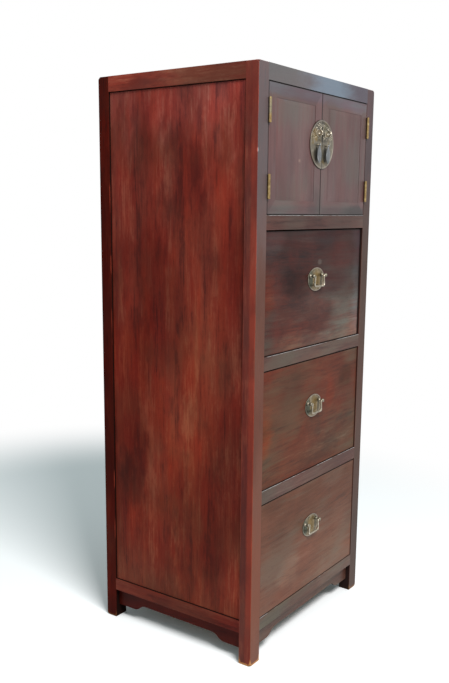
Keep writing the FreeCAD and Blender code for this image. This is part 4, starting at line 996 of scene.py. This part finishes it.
def leaf_drop(side_name, side):
    pivot = joint_place(f"pull_{side_name}_swing")
    outline = [Vector(point) for point in LEAF_NECK]
    for start, end, radius in LEAF_BOWS:
        outline += bow(start, end, radius, 14)
    rows = []
    for width, height in (tuple(point) for point in outline):
        width = max(abs(width), 0.05)
        thick = 1.1 if width > 2.0 else 0.5 + 0.3 * width
        front, back = [], []
        for step in range(13):
            share = step / 6 - 1
            rib = 0.55 * exp(-(share / 0.22) ** 2) * min(1, width / 5)
            body = thick * (0.35 + 0.65 * (1 - abs(share) ** 4))
            front.append(pivot + Vector((width * share, -(body + rib), height)) * MM)
            back.append(pivot + Vector((width * share, body, height)) * MM)
        rows.append(front + back[-2:0:-1])
    piece(f"leaf_drop_{side_name}", [capped(rows), bored_lug(pivot, sides=32, **LEAF_RING)],
          brass["leaf"], f"pull_{side_name}", stands_for=[f"pull_{side_name}"])


for side_name, side in SIDES.items():
    round_plate(side_name, side)
    lock_eye(side_name, side)
    leaf_drop(side_name, side)
    dress(f"pull_staple_{side_name}", brass["bar"])
    dress(f"hinge_leaves_{side_name}", brass["hinge"])
dress("hinge_case_leaves", brass["hinge"])


# Hinge pins
HINGE_HALF = 29 * MM
case_leaves_low, case_leaves_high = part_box("hinge_case_leaves")
HINGE_LEVELS = (case_leaves_low.z + HINGE_HALF, case_leaves_high.z - HINGE_HALF)
# Past the knuckles' end, in millimetres: (distance, radius)
PIN_DOME = ((1.2, 0), (1.1, 1.3), (0.7, 2.2), (0.25, 2.6), (0, 2.6), (0, 1.5))


def hinge_pins():
    low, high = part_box("hinge_pins")
    half = [(HINGE_HALF + far * MM, radius * MM) for far, radius in PIN_DOME]
    profile = [(-far, radius) for far, radius in half] + half[::-1]
    meshes = [turned((side * (POST_EDGE + DOOR_EDGE) / 2, (low.y + high.y) / 2, middle), profile, "z", 24)
              for side in SIDES.values() for middle in HINGE_LEVELS]
    piece("domed_hinge_pins", meshes, brass["hinge"], "case", ["hinge_pins"])


hinge_pins()


# Repeated pieces
def modifier_result(name, tree, values, points=()):
    """The mesh that a tree makes on an object with these points."""
    start = bpy.data.meshes.new(name + "_places")
    start.from_pydata([tuple(point) for point in points], [], [])
    carrier = add_object(name + "_places", start)
    made = carrier.modifiers.new("repeat", "NODES")
    made.node_group = tree
    identifiers = {item.name: item.identifier for item in tree.interface.items_tree
                   if item.item_type == "SOCKET" and item.in_out == "INPUT"}
    for label, value in values.items():
        made[identifiers[label]] = value
    bpy.context.view_layer.update()
    shape = carrier.evaluated_get(bpy.context.evaluated_depsgraph_get())
    mesh = bpy.data.meshes.new_from_object(shape)
    carrier.modifiers.remove(made)
    bpy.data.objects.remove(carrier)
    mesh.name = name
    return add_object(name, mesh)


def finish_tree(tree, geometry, material, result):
    real = put(tree, "GeometryNodeRealizeInstances", {"Geometry": geometry})
    painted = put(tree, "GeometryNodeSetMaterial", {"Geometry": real, "Material": material})
    return finish_group(tree, result, {"Geometry": painted})


def slotted_screws():
    tree, given, result = group_tree(
        "slotted_screws", "GeometryNodeTree",
        {GEOMETRY: "Places", NUMBER: "Head radius, Head height, Slot width", PLACE: "Facing", WHOLE: "Seed"},
        {GEOMETRY: "Geometry"},
    )
    radius, height = given["Head radius"], given["Head height"]
    head = put(tree, "GeometryNodeMeshCylinder", {"Vertices": 24, "Radius": radius, "Depth": height})
    long_side = times(radius, 3.0)
    blade = joined(X=long_side, Y=given["Slot width"], Z=height)
    slot = put(tree, "GeometryNodeMeshCube", {"Size": blade})
    raised = put(tree, "GeometryNodeTransform", {
        "Geometry": slot, "Translation": joined(Z=times(height, 0.6))})
    slotted = put(tree, "GeometryNodeMeshBoolean", {
        "Mesh 1": head, "Mesh 2": raised}, operation="DIFFERENCE")
    spin = put(tree, "FunctionNodeRandomValue", {"Seed": given["Seed"], 3: pi}, data_type="FLOAT")
    start = put(tree, "FunctionNodeEulerToRotation", {0: joined(Z=spin.outputs[1])})
    facing = put(tree, "FunctionNodeAlignRotationToVector",
                 {"Rotation": start, "Vector": given["Facing"]}, axis="Z")
    rows = put(tree, "GeometryNodeInstanceOnPoints", {
        "Points": given["Places"], "Instance": slotted, "Rotation": facing})
    return finish_tree(tree, rows, brass["steel"], result)


screw_tree = slotted_screws()
SCREW_STEP, SCREW_DEPTH = 22 * MM, 10.5 * MM


def screws(name, body, walls, seed):
    """Screws in hinge leaves; walls is a row of (X of the leaf's face, which way it faces)."""
    meshes = []
    for index, (wall, way) in enumerate(walls):
        points = [(wall, FRONT + SCREW_DEPTH, middle + SCREW_STEP * step)
                  for middle in HINGE_LEVELS for step in (-1, 0, 1)]
        meshes.append(modifier_result(f"{name}_{index}", screw_tree, {
            "Head radius": 2.4 * MM, "Head height": 0.2 * MM, "Slot width": 0.7 * MM,
            "Facing": (way, 0.0, 0.0), "Seed": seed + index,
        }, points))
    whole = meshes[0]
    if len(meshes) > 1:
        work = bmesh.new()
        for each in meshes:
            work.from_mesh(each.data)
        work.to_mesh(whole.data)
        work.free()
        for each in meshes[1:]:
            bpy.data.objects.remove(each)
    whole.name = name
    settle(whole, body)


HINGE_LEAF = 0.9 * MM
screws("hinge_screws_case", "case", [((POST_EDGE - HINGE_LEAF) * side, -side) for side in SIDES.values()], 3)
for side_name, side in SIDES.items():
    screws(f"hinge_screws_door_{side_name}", f"door_{side_name}", [((DOOR_EDGE + HINGE_LEAF) * side, side)],
           7 + side)


def punched_bosses():
    tree, given, result = group_tree(
        "punched_bosses", "GeometryNodeTree",
        {GEOMETRY: "Places", WHOLE: "Seed",
         NUMBER: "Side, Field radius, Spacing, Boss radius, Plate front, Plate middle, Eye X, Eye rise, "
                 "Eye clear, Lowest"},
        {GEOMETRY: "Geometry"},
    )
    spacing, boss_radius, side = given["Spacing"], given["Boss radius"], given["Side"]
    span = times(given["Field radius"], 2.0)
    count = sum_up("ADD", sum_up("DIVIDE", span, spacing), 1.0)
    rows = put(tree, "GeometryNodeMeshGrid", {
        "Size X": span, "Size Y": span, "Vertices X": count, "Vertices Y": count})
    jitter = put(tree, "FunctionNodeRandomValue", {
        "Seed": given["Seed"], 0: (-1, -1, 0), 1: (1, 1, 0)}, data_type="FLOAT_VECTOR")
    scaled = put(tree, "ShaderNodeVectorMath", {
        0: jitter, "Scale": times(spacing, 0.33)}, operation="SCALE")
    loose = put(tree, "GeometryNodeSetPosition", {
        "Geometry": rows, "Offset": scaled})
    at = put(tree, "GeometryNodeInputPosition")
    x, y, _ = split(at)
    outside = sum_up("GREATER_THAN", length(at), given["Field radius"])
    over = sum_up("LESS_THAN", times(x, side), times(boss_radius, 1.6))
    under = sum_up("LESS_THAN", y, given["Lowest"])
    eye = joined(X=times(given["Eye X"], side), Y=given["Eye rise"])
    beside = sum_up("LESS_THAN", length(apart(at, eye)), given["Eye clear"])
    kept = put(tree, "GeometryNodeDeleteGeometry", {
        "Geometry": loose, "Selection": most(outside, over, under, beside)},
        domain="POINT")
    boss = put(tree, "GeometryNodeMeshIcoSphere", {"Radius": boss_radius, "Subdivisions": 2})
    low = put(tree, "GeometryNodeTransform", {"Geometry": boss, "Scale": (1, 1, 0.42)})
    size = put(tree, "FunctionNodeRandomValue", {
        "Seed": given["Seed"], 2: 0.65, 3: 1.15}, data_type="FLOAT")
    bosses = put(tree, "GeometryNodeInstanceOnPoints", {
        "Points": kept, "Instance": low, "Scale": size.outputs[1]})
    stand = joined(Y=given["Plate front"], Z=given["Plate middle"])
    upright = put(tree, "GeometryNodeTransform", {
        "Geometry": bosses, "Translation": stand, "Rotation": (pi / 2, 0, 0)})
    return finish_tree(tree, upright, brass["boss"], result)


boss_tree = punched_bosses()
for side_name, side in SIDES.items():
    bosses = modifier_result(f"punched_bosses_{side_name}", boss_tree, {
        "Side": float(side), "Field radius": 54.5 * MM, "Spacing": 4.0 * MM, "Boss radius": 1.45 * MM,
        "Plate front": FRONT - 2.2 * MM, "Plate middle": PLATE_Z, "Eye X": EYE_X,
        "Eye rise": EYE_Z - PLATE_Z, "Eye clear": 11.5 * MM, "Lowest": 13 * MM, "Seed": 5,
    })
    settle(bosses, f"door_{side_name}")


# Studio
def white_rays(tree):
    """1 for rays that see the background as it is: the camera's, and those of metal and glass."""
    path = put(tree, "ShaderNodeLightPath").outputs
    return most(path["Is Camera Ray"], path["Is Glossy Ray"], path["Is Transmission Ray"])


FILL = 0.44
world = bpy.data.worlds.new("studio")
bpy.context.scene.world = world
world.use_nodes = True
tree = world.node_tree
tree.nodes.clear()
fill = put(tree, "ShaderNodeBackground", {"Color": (0.84, 0.98, 1, 1), "Strength": FILL})
white = put(tree, "ShaderNodeBackground", {"Color": (1, 1, 1, 1), "Strength": 1.0})
both = put(tree, "ShaderNodeMixShader", {0: white_rays(tree), 1: fill, 2: white})
put(tree, "ShaderNodeOutputWorld", {"Surface": both})


FLOOR_HALF = 30.0


def pale_floor():
    material, tree, place = new_material("pale_floor")
    far = ease(length(apart(place, (0.1, 0.6, 0))), 0.9, 1.8)
    matt = put(tree, "ShaderNodeBsdfDiffuse", {"Color": (0.50, 0.505, 0.51, 1)})
    bright = put(tree, "ShaderNodeBsdfDiffuse", {"Color": (0.62, 0.615, 0.61, 1)})
    near = put(tree, "ShaderNodeAddShader", {0: matt, 1: bright})
    white = put(tree, "ShaderNodeEmission", {"Color": (1, 1, 1, 1), "Strength": 1.0})
    seen = put(tree, "ShaderNodeMixShader", {0: far, 1: near, 2: white})
    whole = put(tree, "ShaderNodeMixShader", {0: white_rays(tree), 1: matt, 2: seen})
    put(tree, "ShaderNodeOutputMaterial", {"Surface": whole})
    mesh = bpy.data.meshes.new("floor")
    corners = [(x * FLOOR_HALF, y * FLOOR_HALF, 0) for x, y in ((-1, -1), (1, -1), (1, 1), (-1, 1))]
    mesh.from_pydata(corners, [], [(0, 1, 2, 3)])
    mesh.materials.append(material)
    add_object("floor", mesh)


pale_floor()


def soft_lamp(name, place, aim, width, height, level):
    """An area lamp whose face has this plain level."""
    lamp = bpy.data.lights.new(name, "AREA")
    lamp.shape = "RECTANGLE"
    lamp.size, lamp.size_y = width, height
    lamp.energy = level * width * height * pi
    made = add_object(name, lamp)
    made.location = place
    made.rotation_euler = (Vector(aim) - Vector(place)).to_track_quat("-Z", "Y").to_euler()


soft_lamp("key_lamp", (-1.5, -2.4, 3.6), (0, 0, 0.5), 1.6, 1.4, 26)


# Camera
PHOTO_EYE = (-1.9933, -1.3486, 1.1789)
# Yaw, pitch and roll in degrees
PHOTO_TURN = (54.746, 10.369, 0.51)
PHOTO_LENS, PHOTO_SENSOR, PHOTO_SHIFT = 44.026, 36.0, 22.46 / 683


def photo_camera():
    yaw, pitch, roll = (radians(angle) for angle in PHOTO_TURN)
    ahead = Vector((sin(yaw) * cos(pitch), cos(yaw) * cos(pitch), -sin(pitch)))
    level = Vector((cos(yaw), -sin(yaw), 0))
    square = level.cross(ahead)
    right = level * cos(roll) + square * sin(roll)
    up = square * cos(roll) - level * sin(roll)
    lens = bpy.data.cameras.new("photo_camera")
    lens.sensor_width = PHOTO_SENSOR
    lens.lens = PHOTO_LENS
    lens.shift_y = PHOTO_SHIFT
    made = add_object("photo_camera", lens)
    turn = Matrix((right, up, -ahead)).transposed().to_4x4()
    made.matrix_world = Matrix.Translation(PHOTO_EYE) @ turn
    bpy.context.scene.camera = made


photo_camera()
bpy.context.scene.view_settings.view_transform = "Standard"
